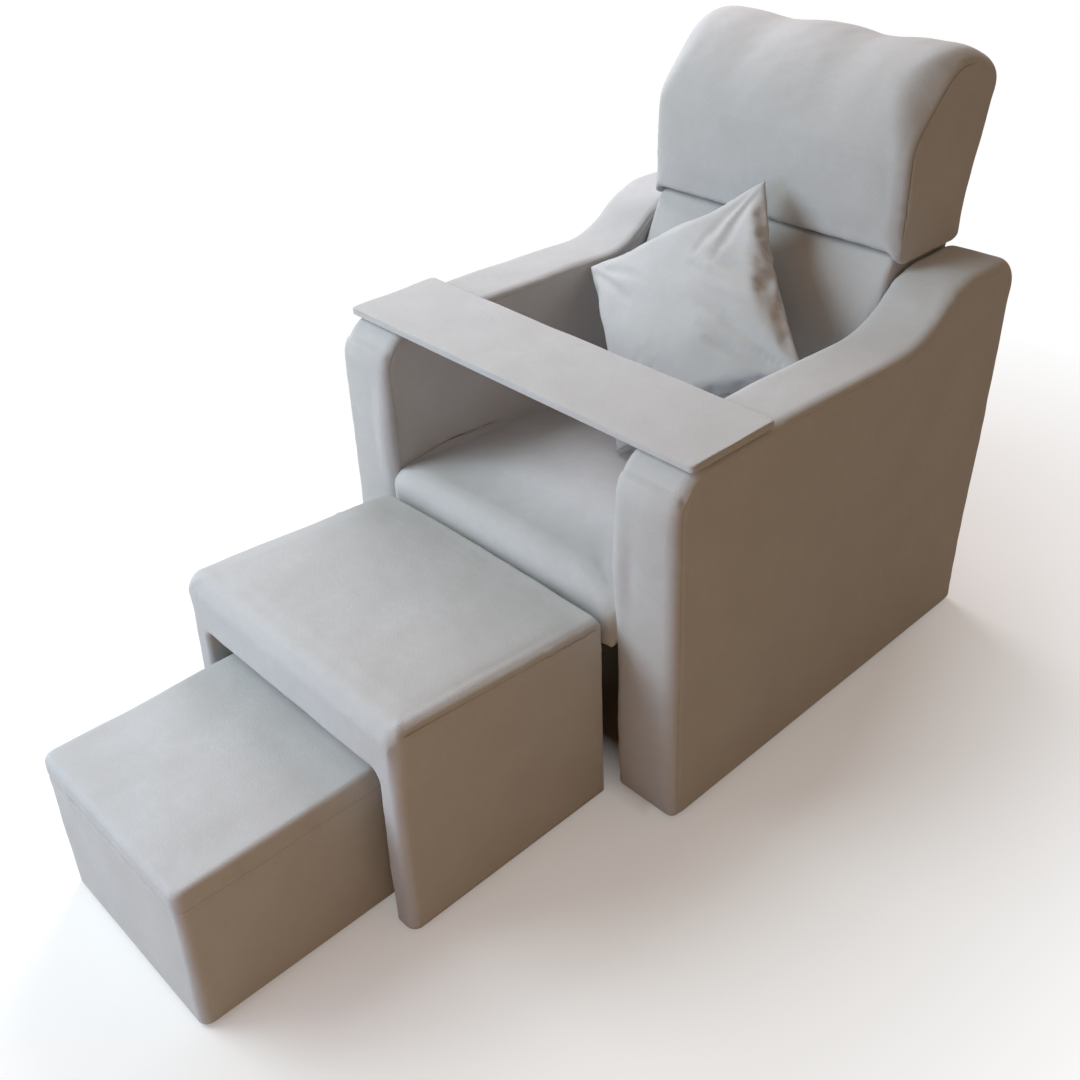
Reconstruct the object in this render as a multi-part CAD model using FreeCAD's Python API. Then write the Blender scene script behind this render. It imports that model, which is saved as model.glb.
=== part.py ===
"""Pedicure spa armchair with its footrest ottoman, pull-out stool, tray board and throw pillow.

Millimetres, +Z up. The sitter faces -Y, so +X is the sitter's left. Lengths along Y are first
measured back from the arms' front faces, and heights from the floor. At the end everything moves
along Y so that the origin lies under the middle of the whole set.
"""
import FreeCAD, Part
import math
import os
from FreeCAD import Vector

# Overall sizes of the armchair
chair_width = 800.0
arm_width = 125.0
glide_height = 6.0
glide_radius = 15.0
glide_sides = 12
fastener_sides = 6

# Side outline of an arm: flat rest in front, dip, S-curve up to the hump, raked rear edge
arm_front_top_z = 651.0
arm_front_radius = 72.0
arm_flat_end_y = 240.0
arm_flat_blend_radius = 400.0
arm_dip_z = 637.5
arm_rise_y = 615.0
arm_hump_y = 716.0
arm_hump_z = 718.0
arm_s_share = 0.975
arm_rear_top_y = 912.0
arm_rear_radius = 52.0
arm_rear_foot_y = 835.0
arm_edge_radius = 24.0

# Layers of an arm
band_thickness = 24.0
cover_thickness = 6.0
ply_thickness = 12.0
post_depth = 40.0
post_fronts_y = (30.0, 330.0, 770.0)

# Seat frame
rail_thickness = 25.0
rail_bottom_z = 300.0
rail_top_z = 350.0
front_rail_y = 2.0
rear_rail_y = 505.0
side_rail_end_y = 690.0
corner_block_leg = 45.0
corner_block_inset_z = 5.0
bolt_ys = (110.0, 290.0, 430.0)
bolt_radius = 4.0
bolt_head_radius = 8.0
bolt_head_height = 5.0
nut_radius = 9.0
nut_height = 4.0
hole_clearance = 0.15

# Zigzag seat springs, drawn square in section, and the clips that hold their ends
spring_shares = (-0.76, -0.38, 0.0, 0.38, 0.76)
spring_wire = 4.0
spring_loop_width = 46.0
spring_half_loops = 14
spring_corner = 6.0
clip_width = 16.0
clip_sheet = 1.2
clip_gap = 0.2
clip_depth = 14.0
felt_thickness = 3.0
dust_cover_thickness = 1.2

# Seat cushion
seat_side_clearance = 2.0
seat_front_y = -22.0
seat_front_z = 424.0
seat_rear_y = 540.0
seat_rear_z = 387.0
seat_nose_radius = 50.0
seat_apron_z = 300.0
seat_crown = 24.0
seat_front_bow = 14.0
seat_corner_radius = 22.0
seat_apron_radius = 8.0
seat_rear_radius = 10.0
seat_edge_radius = 12.0

# Rear of the base
skirt_thickness = 8.0
skirt_inset = 12.0
skirt_top_z = 288.0
skirt_bottom_z = 16.0
skirt_edge_radius = 2.5
stretcher_height = 40.0
stretcher_zs = (24.0, 236.0)

# Backrest
back_side_clearance = 2.0
back_bottom_z = 388.0
back_rear_foot_y = 787.0
back_rake = 0.295
back_top_z = 1066.0
back_roll_radius = 165.0
back_roll_fall = 0.45
back_top_rear_radius = 45.0
back_edge_radius = 14.0
crease_z = 743.0
crease_y = 716.0
lumbar_foot_y = 531.0
lumbar_top_y = 688.0
lumbar_top_z = 732.0
lumbar_foot_radius = 12.0
lumbar_top_radius = 24.0
lumbar_crown = 14.0
head_chin_y = 688.0
head_chin_z = 749.0
head_chin_radius = 8.0
head_brow_y = 699.0
head_crown = 4.0
head_edge_radius = 9.0
head_corner_radius = 34.0
head_wave_shares = (-0.696, -0.403, 0.037, 0.348, 0.696)
head_wave_zs = (1064.0, 1056.0, 1066.0, 1055.0, 1064.0)
head_wave_radius = 150.0
head_shoulder_z = 1048.0
crown_radius = 1500.0
crown_peak = 0.33

# Backrest frame
side_board_thickness = 25.0
hinge_play = 1.5
side_board_clearance_z = 4.0
lumbar_foam = 72.0
head_foam = 77.0
head_top_foam = 76.0
board_brow_z = 900.0
board_top_set_back = 45.0
board_bend_radius = 60.0
board_top_radius = 30.0
board_rear_radius = 12.0
cavity_clearance = 0.5
webbing_thickness = 2.0
webbing_width = 50.0
lumbar_strap_zs = (410.0, 475.0, 540.0, 605.0, 670.0)
head_strap_zs = (790.0, 850.0)
back_rail_thickness = 25.0
back_rail_height = 50.0
rear_cover_thickness = 6.0
rear_cover_radius = 3.0
rear_cover_bottom_z = 330.0
rear_cover_top_z = 985.0

# Recline hinges: a toothed sector on the backrest, a plate on the seat rail and a sprung pawl
pivot_y = 660.0
pivot_z = 350.0
hinge_plate = 5.0
sector_radius = 28.0
tooth_depth = 3.5
tooth_pitch_deg = 9.0
tooth_count = 7
tooth_land = 0.2
tooth_root_behind = 0.8
tooth_release = 0.25
tooth_rim_past = 1.0
sector_arm_width = 36.0
sector_arm_top_z = 520.0
sector_arm_radius = 9.0
base_plate_front_y = 576.0
base_head_radius = 31.0
plate_margin = 1.0
pin_radius = 5.0
pin_head_radius = 8.0
pin_head_height = 2.0
pin_clearance = 0.1
pawl_pivot_y = 612.0
pawl_pivot_z = 316.0
pawl_boss_radius = 6.0
pawl_pin_radius = 2.5
pawl_underside_drop = 3.0
pawl_corner_radius = 2.0
pawl_tip_drop = 1.0
pawl_clearance = 0.3
pawl_play = 0.15
leaf_thickness = 0.8
leaf_lug = 8.0
screw_radius = 2.0
screw_head_radius = 4.0
screw_head_height = 2.0
screw_length = 15.0
base_screws = ((584.0, 340.0), (612.0, 338.0), (680.0, 312.0))
sector_screw_zs = (420.0, 460.0, 500.0)

# Ottoman: an arch that the stool slides into
ottoman_side_clearance = 2.0
ottoman_front_y = -433.0
ottoman_rear_y = -27.0
ottoman_front_z = 392.0
ottoman_rear_z = 362.0
ottoman_front_radius = 30.0
ottoman_rear_radius = 16.0
ottoman_edge_radius = 15.0
ottoman_side_pad = 14.0
ottoman_board = 18.0
ottoman_lining = 12.0
ottoman_arch_z = 296.0
ottoman_arch_radius = 20.0
ottoman_rear_board = 12.0
ottoman_rear_cover = 6.0
ottoman_glide_inset = 45.0

# Stool
stool_width = 384.0
stool_front_y = -737.0
stool_depth = 345.0
stool_height = 265.0
stool_board = 15.0
stool_pad = 34.0
stool_wrap = 8.0
stool_top_radius = 16.0
stool_edge_radius = 12.0
stool_bottom_sheet = 3.0
stool_glide_inset = 30.0

# Tray board that lies across the arms
tray_front_y = 30.0
tray_depth = 185.0
tray_thickness = 13.0
tray_skin = 2.0
tray_edge_radius = 4.0
tray_window_margin = 28.0
rest_gap = 0.3

# Throw pillow, standing on one corner and leaning back
pillow_size = 385.0
pillow_thickness = 120.0
pillow_draw_in = 16.0
pillow_x = 4.0
pillow_y = 478.0
pillow_z = 617.1
pillow_lean_deg = 37.0
pillow_turn_deg = 41.0
pillow_yaw_deg = 5.0
pillow_side_steps = 4
pillow_ring_shares = (1.0, 0.88, 0.70, 0.40)
pillow_height_shares = (0.025, 0.42, 0.76, 1.0)

# Places worked out from the sizes above
arm_climb = (arm_hump_y - arm_rise_y, arm_hump_z - arm_dip_z)
arm_climb_angle = math.atan2(arm_climb[1], arm_climb[0])
arm_fall_angle = math.atan2(arm_front_top_z - arm_dip_z, arm_rise_y - arm_flat_end_y)
arm_bend_reach = math.tan((arm_climb_angle + arm_fall_angle) / 2) + math.tan(arm_climb_angle / 2)
arm_s_radius = arm_s_share * math.hypot(*arm_climb) / arm_bend_reach
half_width = chair_width / 2
arm_inner_x = half_width - arm_width
ply_outer_x = half_width - cover_thickness
ply_inner_x = arm_inner_x + cover_thickness
rail_inner_x = arm_inner_x - rail_thickness
base_plate_x = rail_inner_x - hinge_plate
side_board_outer_x = base_plate_x - hinge_play - hinge_plate
sector_outer_x = side_board_outer_x + hinge_plate
cavity_half_width = sector_outer_x + cavity_clearance
spring_z = rail_top_z + clip_sheet
felt_z = spring_z + spring_wire + clip_gap + clip_sheet
pawl_underside_z = pawl_pivot_z - pawl_underside_drop
leaf_lug_y = base_plate_front_y + leaf_lug
leaf_foot_z = rail_bottom_z + leaf_lug / 2
back_half = arm_inner_x - back_side_clearance
ottoman_half = arm_inner_x - ottoman_side_clearance
stool_half = stool_width / 2
far = 3 * chair_width
match_tolerance = 1e-3
closing_tolerance = 1e-6


def side(a, b):
    return Vector(0, a, b)


def front(a, b):
    return Vector(a, 0, b)


def plan(a, b):
    return Vector(a, b, 0)


def outline(corners, plane=side):
    """Closed wire through corners (a, b, radius), with an arc of its radius at each corner."""
    stops = []
    count = len(corners)
    for index in range(count):
        here = plane(*corners[index][:2])
        radius = corners[index][2]
        if not radius:
            stops.append((here, None, here))
            continue
        before = (plane(*corners[index - 1][:2]) - here).normalize()
        after = (plane(*corners[(index + 1) % count][:2]) - here).normalize()
        half = before.getAngle(after) / 2
        reach = radius / math.tan(half)
        bisector = (before + after).normalize()
        middle = here + bisector * (radius / math.sin(half) - radius)
        stops.append((here + before * reach, middle, here + after * reach))
    edges = []
    for index in range(count):
        start, middle, end = stops[index]
        if middle:
            edges.append(Part.Arc(start, middle, end).toShape())
        onward = stops[(index + 1) % count][0]
        if (onward - end).Length > closing_tolerance:
            edges.append(Part.LineSegment(end, onward).toShape())
    return Part.Wire(edges)


def side_slab(corners, x_from, x_to):
    """A side outline with its thickness between two X values."""
    face = Part.Face(outline(corners))
    face.translate(Vector(x_from, 0, 0))
    return face.extrude(Vector(x_to - x_from, 0, 0))


def front_prism(corners, direction=Vector(0, 1, 0)):
    """A front outline drawn out along Y, or along a slope, far past the object both ways."""
    face = Part.Face(outline(corners, front))
    face.translate(direction * -far)
    return face.extrude(direction * 2 * far)


def plan_prism(corners, direction=Vector(0, 0, 1)):
    """A plan outline drawn out along Z, or along a slope, far past the object both ways."""
    face = Part.Face(outline(corners, plan))
    face.translate(direction * -far)
    return face.extrude(direction * 2 * far)


def box(x_range, y_range, z_range):
    size = (x_range[1] - x_range[0], y_range[1] - y_range[0], z_range[1] - z_range[0])
    return Part.makeBox(*size, Vector(x_range[0], y_range[0], z_range[0]))


def rod_x(x_from, x_to, y, z, radius):
    return Part.makeCylinder(radius, x_to - x_from, Vector(x_from, y, z), Vector(1, 0, 0))


def ring_points(radius, sides):
    step = 2 * math.pi / sides
    return [(radius * math.cos(step * (i + 0.5)), radius * math.sin(step * (i + 0.5)), 0)
            for i in range(sides)]


def peg_x(x_from, x_to, y, z, radius):
    """A fastener's shank, head or hole along X, with flat sides."""
    corners = [(y + a, z + b, 0) for a, b, _ in ring_points(radius, fastener_sides)]
    return side_slab(corners, min(x_from, x_to), max(x_from, x_to))


def glide(x, y, radius):
    """A furniture glide under a foot."""
    corners = [(x + a, y + b, 0) for a, b, _ in ring_points(radius, glide_sides)]
    return Part.Face(outline(corners, plan)).extrude(Vector(0, 0, glide_height))


def mirrored(shape):
    return shape.mirror(Vector(0, 0, 0), Vector(1, 0, 0))


def round_side_edges(solid, x_values, radius, lowest_z):
    """Round the edges that lie in the side faces, all but those along the bottom."""
    edges = []
    for edge in solid.Edges:
        bounds = edge.BoundBox
        in_side = any(
            abs(bounds.XMin - x) < match_tolerance and abs(bounds.XMax - x) < match_tolerance
            for x in x_values)
        if in_side and bounds.ZMax > lowest_z + match_tolerance:
            edges.append(edge)
    return solid.makeFillet(radius, edges)


def rear_y(z):
    """The raked rear line of the arms at a height."""
    rake = (arm_rear_top_y - arm_rear_foot_y) / (arm_hump_z - glide_height)
    return arm_rear_foot_y + rake * (z - glide_height)


def arm_corners(inset, bottom_z):
    """The arm's side outline, moved inwards by an inset."""
    shift = inset * math.tan(arm_climb_angle / 2)
    rake = (arm_rear_top_y - arm_rear_foot_y) / (arm_hump_z - glide_height)
    rear_inset = inset * math.hypot(1, rake)
    dip_inset = inset * math.tan(arm_fall_angle / 2)
    return [
        (inset, bottom_z, 0),
        (inset, arm_front_top_z - inset, arm_front_radius - inset),
        (arm_flat_end_y - dip_inset, arm_front_top_z - inset, arm_flat_blend_radius),
        (arm_rise_y + shift, arm_dip_z - inset, arm_s_radius + inset),
        (arm_hump_y + shift, arm_hump_z - inset, arm_s_radius - inset),
        (rear_y(arm_hump_z - inset) - rear_inset, arm_hump_z - inset, arm_rear_radius - inset),
        (rear_y(bottom_z) - rear_inset, bottom_z, 0),
    ]


def build_arm():
    """The sitter's left arm: two plywood panels on posts, a padded band round the edge, two covers."""
    whole = side_slab(arm_corners(0, glide_height), arm_inner_x, half_width)
    whole = round_side_edges(whole, (arm_inner_x, half_width), arm_edge_radius, glide_height)
    core = side_slab(arm_corners(band_thickness, glide_height), ply_inner_x, ply_outer_x)
    middle = box((ply_inner_x, ply_outer_x), (-far, far), (0, far))
    outer_side = box((ply_outer_x, half_width), (-far, far), (0, far))
    inner_side = box((arm_inner_x, ply_inner_x), (-far, far), (0, far))
    holes = []
    nuts_x = ply_inner_x + ply_thickness
    for bolt_y in bolt_ys:
        bolt_z = (rail_bottom_z + rail_top_z) / 2
        holes.append(peg_x(rail_inner_x, nuts_x, bolt_y, bolt_z, bolt_radius + hole_clearance))
    holes = Part.makeCompound(holes)
    inner_panel = core.common(box((ply_inner_x, nuts_x), (0, far), (0, far))).cut(holes)
    outer_panel = core.common(box((ply_outer_x - ply_thickness, ply_outer_x), (0, far), (0, far)))
    posts = []
    for post_y in post_fronts_y:
        post = box((nuts_x, ply_outer_x - ply_thickness), (post_y, post_y + post_depth), (0, far))
        posts.append(post.common(core))
    return {
        "arm_outer_panel": outer_panel,
        "arm_inner_panel": inner_panel,
        "arm_band": whole.common(middle).cut(core),
        "arm_outer_cover": whole.common(outer_side),
        "arm_inner_cover": whole.common(inner_side).cut(holes),
        "arm_posts": Part.makeCompound(posts),
    }


def zigzag_spring(centre_x, y_from, y_to):
    """A spring that runs to and fro across its own length, with clipped corners."""
    pitch = (y_to - y_from) / spring_half_loops
    reach = spring_loop_width / 2
    line = [(-clip_width, y_from)]
    for loop in range(spring_half_loops):
        way = 1 if loop % 2 == 0 else -1
        y_here = y_from + loop * pitch
        line.append((way * (reach - spring_corner), y_here))
        line.append((way * reach, y_here + spring_corner))
        line.append((way * reach, y_here + pitch - spring_corner))
        line.append((way * (reach - spring_corner), y_here + pitch))
    way = 1 if spring_half_loops % 2 == 0 else -1
    line.append((way * clip_width, y_to))
    left = []
    right = []
    for index, (x, y) in enumerate(line):
        here = Vector(x, y, 0)
        arriving = here - Vector(*line[index - 1], 0) if index else None
        leaving = Vector(*line[index + 1], 0) - here if index + 1 < len(line) else None
        arriving = (arriving or leaving).normalize()
        leaving = (leaving or arriving).normalize()
        normal = Vector(-arriving.y - leaving.y, arriving.x + leaving.x, 0).normalize()
        stretch = spring_wire / 2 / math.cos(arriving.getAngle(leaving) / 2)
        left.append(here + normal * stretch)
        right.append(here - normal * stretch)
    loop_points = left + right[::-1]
    wire = Part.makePolygon(loop_points + loop_points[:1])
    spring = Part.Face(wire).extrude(Vector(0, 0, spring_wire))
    spring.translate(Vector(centre_x, 0, spring_z))
    return spring


def spring_clip(centre_x, y, way):
    """A folded steel clip, open towards the middle of the seat, round a spring's end."""
    inside = spring_wire / 2 + clip_gap
    outside = inside + clip_sheet
    corners = [
        (y - way * outside, rail_top_z, 0),
        (y + way * (clip_depth - outside), rail_top_z, 0),
        (y + way * (clip_depth - outside), spring_z, 0),
        (y - way * inside, spring_z, 0),
        (y - way * inside, felt_z - clip_sheet, 0),
        (y + way * inside, felt_z - clip_sheet, 0),
        (y + way * inside, felt_z, 0),
        (y - way * outside, felt_z, 0),
    ]
    return side_slab(corners, centre_x - clip_width / 2, centre_x + clip_width / 2)


def build_seat():
    rail_zs = (rail_bottom_z, rail_top_z)
    front_rail_rear = front_rail_y + rail_thickness
    rear_rail_rear = rear_rail_y + rail_thickness
    bolt_z = (rail_bottom_z + rail_top_z) / 2
    side_rail = box((rail_inner_x, arm_inner_x), (front_rail_rear, side_rail_end_y), rail_zs)
    bolts = []
    for bolt_y in bolt_ys:
        side_rail = side_rail.cut(
            peg_x(rail_inner_x, arm_inner_x, bolt_y, bolt_z, bolt_radius + hole_clearance))
        nut_x = ply_inner_x + ply_thickness
        bolt = peg_x(rail_inner_x, nut_x, bolt_y, bolt_z, bolt_radius)
        head = peg_x(rail_inner_x - bolt_head_height, rail_inner_x, bolt_y, bolt_z, bolt_head_radius)
        nut = peg_x(nut_x, nut_x + nut_height, bolt_y, bolt_z, nut_radius)
        bolts.append(bolt.fuse(head).fuse(nut))
    bolts += [mirrored(bolt) for bolt in bolts]
    for hole_y, hole_z in base_screws:
        side_rail = side_rail.cut(peg_x(
            rail_inner_x, rail_inner_x + screw_length, hole_y, hole_z, screw_radius + hole_clearance))
    blocks = []
    block_zs = (rail_bottom_z + corner_block_inset_z, rail_top_z - corner_block_inset_z)
    for corner_y, way in ((front_rail_rear, 1), (rear_rail_y, -1)):
        for sign in (-1, 1):
            x = sign * rail_inner_x
            corners = [
                (x, corner_y, 0),
                (x - sign * corner_block_leg, corner_y, 0),
                (x, corner_y + way * corner_block_leg, 0),
            ]
            face = Part.Face(outline(corners, plan))
            face.translate(Vector(0, 0, block_zs[0]))
            blocks.append(face.extrude(Vector(0, 0, block_zs[1] - block_zs[0])))
    spring_from = front_rail_y + rail_thickness / 2
    spring_to = rear_rail_y + rail_thickness / 2
    spring_xs = [share * rail_inner_x for share in spring_shares]
    springs = [zigzag_spring(x, spring_from, spring_to) for x in spring_xs]
    clips = [spring_clip(x, spring_from, 1) for x in spring_xs]
    clips += [spring_clip(x, spring_to, -1) for x in spring_xs]
    deck = (front_rail_y, rear_rail_rear)
    felt_top = felt_z + felt_thickness
    return {
        "seat_front_rail": box((-arm_inner_x, arm_inner_x), (front_rail_y, front_rail_rear), rail_zs),
        "seat_rear_rail": box((-rail_inner_x, rail_inner_x), (rear_rail_y, rear_rail_rear), rail_zs),
        "left_seat_side_rail": side_rail,
        "right_seat_side_rail": mirrored(side_rail),
        "seat_corner_blocks": Part.makeCompound(blocks),
        "seat_springs": Part.makeCompound(springs),
        "spring_clips": Part.makeCompound(clips),
        "spring_felt": box((-rail_inner_x, rail_inner_x), deck, (felt_z, felt_top)),
        "seat_cushion": seat_cushion(felt_top),
        "seat_dust_cover": box(
            (-arm_inner_x + rest_gap, arm_inner_x - rest_gap), deck,
            (rail_bottom_z - dust_cover_thickness, rail_bottom_z)),
        "frame_bolts": Part.makeCompound(bolts),
    }


def seat_cushion(bottom_z):
    """Crowned seat pad with a rolled nose and an apron that hangs over the front rail."""
    half = arm_inner_x - seat_side_clearance
    slope = (seat_rear_z - seat_front_z) / (seat_rear_y - seat_front_y)
    profile = side_slab([
        (seat_front_y, seat_apron_z, seat_apron_radius),
        (seat_front_y, seat_front_z, seat_nose_radius),
        (seat_rear_y, seat_rear_z, seat_rear_radius),
        (seat_rear_y, bottom_z, 0),
        (front_rail_y, bottom_z, 0),
        (front_rail_y, seat_apron_z, 0),
    ], -half, half)
    level = seat_front_z - slope * seat_front_y
    crown = front_prism([
        (-half, -far, 0),
        (-half, level - seat_crown, seat_edge_radius),
        (0, level + seat_crown * crown_peak, crown_radius),
        (half, level - seat_crown, seat_edge_radius),
        (half, -far, 0),
    ], Vector(0, 1, slope))
    bow = plan_prism([
        (-half, far, 0),
        (-half, seat_front_y + seat_front_bow, seat_corner_radius),
        (0, seat_front_y - seat_front_bow * crown_peak, crown_radius),
        (half, seat_front_y + seat_front_bow, seat_corner_radius),
        (half, far, 0),
    ])
    return profile.common(crown).common(bow)


def build_rear():
    """Raked skirt panel across the back of the base, on two stretchers between the arms."""
    def line(z, forward):
        return rear_y(z) - skirt_inset - forward

    skirt = side_slab([
        (line(skirt_bottom_z, 0), skirt_bottom_z, skirt_edge_radius),
        (line(skirt_top_z, 0), skirt_top_z, skirt_edge_radius),
        (line(skirt_top_z, skirt_thickness), skirt_top_z, skirt_edge_radius),
        (line(skirt_bottom_z, skirt_thickness), skirt_bottom_z, skirt_edge_radius),
    ], -arm_inner_x, arm_inner_x)
    stretchers = []
    for low_z in stretcher_zs:
        high_z = low_z + stretcher_height
        stretchers.append(side_slab([
            (line(low_z, skirt_thickness), low_z, 0),
            (line(high_z, skirt_thickness), high_z, 0),
            (line(high_z, skirt_thickness + rail_thickness), high_z, 0),
            (line(low_z, skirt_thickness + rail_thickness), low_z, 0),
        ], -arm_inner_x, arm_inner_x))
    glide_x = (arm_inner_x + half_width) / 2
    glides = []
    for post_y in (post_fronts_y[0], post_fronts_y[-1]):
        for x in (-glide_x, glide_x):
            glides.append(glide(x, post_y + post_depth / 2, glide_radius))
    return {
        "rear_skirt": skirt,
        "rear_stretchers": Part.makeCompound(stretchers),
        "chair_glides": Part.makeCompound(glides),
    }


def back_rear_y(z):
    """The raked rear line of the backrest's pads at a height."""
    return back_rear_foot_y + back_rake * (z - back_bottom_z)


def side_board_corners(webbing):
    """The backrest's side board in outline, let out in front by the webbing's thickness."""
    lowest = back_bottom_z + side_board_clearance_z
    top = back_top_z - head_top_foam
    slope = (lumbar_top_y - lumbar_foot_y) / (lumbar_top_z - back_bottom_z)
    crease_front = lumbar_foot_y + slope * (crease_z - back_bottom_z) + lumbar_foam
    brow_front = head_brow_y + head_foam
    return [
        (lumbar_foot_y + slope * (lowest - back_bottom_z) + lumbar_foam - webbing, lowest, 0),
        (crease_front - webbing, crease_z, board_bend_radius),
        (brow_front - webbing, board_brow_z, board_bend_radius),
        (brow_front + board_top_set_back - webbing, top, board_top_radius),
        (back_rear_y(top), top, board_rear_radius),
        (back_rear_y(lowest), lowest, 0),
    ]


def strap(centre_z, foot, head):
    """One webbing strap across the front edges of the side boards, which run from foot to head."""
    slope = (head[0] - foot[0]) / (head[1] - foot[1])
    low_z = centre_z - webbing_width / 2
    high_z = centre_z + webbing_width / 2
    low_y = foot[0] + slope * (low_z - foot[1])
    high_y = foot[0] + slope * (high_z - foot[1])
    return side_slab([
        (low_y - webbing_thickness, low_z, 0),
        (high_y - webbing_thickness, high_z, 0),
        (high_y, high_z, 0),
        (low_y, low_z, 0),
    ], -side_board_outer_x, side_board_outer_x)


def build_back():
    half = back_half
    board_inner_x = side_board_outer_x - side_board_thickness
    side_board = side_slab(side_board_corners(0), board_inner_x, side_board_outer_x)
    for hole_z in sector_screw_zs:
        side_board = side_board.cut(peg_x(
            sector_outer_x - screw_head_height - screw_length, side_board_outer_x,
            sector_arm_y(hole_z), hole_z, screw_radius + hole_clearance))
    corners = side_board_corners(0)
    straps = [strap(z + webbing_width / 2, corners[0], corners[1]) for z in lumbar_strap_zs]
    straps += [strap(z, corners[1], corners[2]) for z in head_strap_zs]
    cavity = side_slab(side_board_corners(webbing_thickness), -cavity_half_width, cavity_half_width)
    foot_gap = box(
        (-cavity_half_width, cavity_half_width),
        (corners[0][0] - webbing_thickness, far),
        (0, corners[0][1]))
    slope = (lumbar_top_y - lumbar_foot_y) / (lumbar_top_z - back_bottom_z)
    lumbar = side_slab([
        (lumbar_foot_y, back_bottom_z, lumbar_foot_radius),
        (lumbar_top_y, lumbar_top_z, lumbar_top_radius),
        (crease_y, crease_z, 0),
        (back_rear_y(crease_z), crease_z, 0),
        (back_rear_y(back_bottom_z), back_bottom_z, 0),
    ], -half, half)
    lumbar_plan = plan_prism([
        (-half, far, 0),
        (-half, lumbar_foot_y + lumbar_crown, back_edge_radius),
        (0, lumbar_foot_y - lumbar_crown * crown_peak, crown_radius),
        (half, lumbar_foot_y + lumbar_crown, back_edge_radius),
        (half, far, 0),
    ], Vector(0, slope, 1))
    lumbar_plan.translate(Vector(0, -slope * back_bottom_z, 0))
    head = side_slab(head_corners(), -half, half)
    head_plan = plan_prism([
        (-half, far, 0),
        (-half, head_chin_y + head_crown, head_edge_radius),
        (0, head_chin_y - head_crown * crown_peak, crown_radius),
        (half, head_chin_y + head_crown, head_edge_radius),
        (half, far, 0),
    ])
    wave = [(share * half, z, head_wave_radius) for share, z in zip(head_wave_shares, head_wave_zs)]
    head_front = front_prism(
        [(-half, 0, 0), (-half, head_shoulder_z, head_corner_radius)]
        + wave
        + [(half, head_shoulder_z, head_corner_radius), (half, 0, 0)])
    cover = side_slab([
        (back_rear_y(rear_cover_bottom_z), rear_cover_bottom_z, 0),
        (back_rear_y(rear_cover_top_z), rear_cover_top_z, 0),
        (back_rear_y(rear_cover_top_z) + rear_cover_thickness, rear_cover_top_z, rear_cover_radius),
        (back_rear_y(rear_cover_bottom_z) + rear_cover_thickness, rear_cover_bottom_z, rear_cover_radius),
    ], -half, half)
    return {
        "left_back_side_board": side_board,
        "right_back_side_board": mirrored(side_board),
        "back_rails": back_rails(board_inner_x),
        "back_webbing": Part.makeCompound(straps),
        "lumbar_pad": lumbar.common(lumbar_plan).cut(cavity).cut(foot_gap),
        "head_pad": head.common(head_plan).common(head_front).cut(cavity),
        "back_rear_cover": cover,
    }


def head_corners():
    """Side outline of the head: a chin over the crease, a big roll and a top that falls to the rear."""
    roll_z = back_top_z + back_roll_radius * (math.hypot(1, back_roll_fall) - 1)
    roll_z += back_roll_fall * back_roll_radius
    rear_foot = back_rear_y(0)
    front_y = head_brow_y
    top_rear_z = (roll_z - back_roll_fall * (rear_foot - front_y)) / (1 + back_roll_fall * back_rake)
    return [
        (crease_y, crease_z, 0),
        (head_chin_y, head_chin_z, head_chin_radius),
        (front_y, roll_z, back_roll_radius),
        (back_rear_y(top_rear_z), top_rear_z, back_top_rear_radius),
        (back_rear_y(crease_z), crease_z, 0),
    ]


def back_rails(half):
    """Four cross rails between the side boards: two at the foot, one at the crease, one on top."""
    low = side_board_corners(0)[0]
    top = side_board_corners(0)[3]
    crease = side_board_corners(0)[1]
    foot_zs = (low[1], low[1] + back_rail_height)
    slope = (crease[0] - low[0]) / (crease[1] - low[1])
    front_y = low[0] + slope * back_rail_height
    rear_limit = back_rear_y(low[1])
    crease_front = crease[0] + back_rail_thickness
    rails = [
        box((-half, half), (front_y, front_y + back_rail_thickness), foot_zs),
        box((-half, half), (rear_limit - back_rail_thickness, rear_limit), foot_zs),
        box((-half, half), (crease_front, crease_front + back_rail_thickness),
            (crease_z - back_rail_height / 2, crease_z + back_rail_height / 2)),
        box((-half, half), (top[0] + back_rail_height / 2, back_rear_y(top[1]) - back_rail_height / 2),
            (top[1] - back_rail_thickness, top[1])),
    ]
    return Part.makeCompound(rails)


def sector_arm_y(z):
    """The middle line of the sector's arm, which leans like the backrest."""
    return pivot_y + back_rake * (z - pivot_z)


def tooth_slope():
    """How far a tooth's sloping flank runs forward for each millimetre of its depth."""
    opening = math.radians(tooth_pitch_deg) * sector_radius - tooth_land
    return opening / tooth_depth - tooth_release


def tooth_gap(index):
    """The space between two teeth: steep behind, sloping in front, so it holds one way only."""
    root = (pivot_y + tooth_root_behind, pivot_z - sector_radius + tooth_depth)
    drop = tooth_depth + tooth_rim_past
    gap = side_slab([
        (root[0], root[1], 0),
        (root[0] + tooth_release * drop, root[1] - drop, 0),
        (root[0] - tooth_slope() * drop, root[1] - drop, 0),
    ], side_board_outer_x - hinge_plate, sector_outer_x + hinge_plate)
    gap.rotate(Vector(0, pivot_y, pivot_z), Vector(1, 0, 0), index * tooth_pitch_deg)
    return gap


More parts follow.
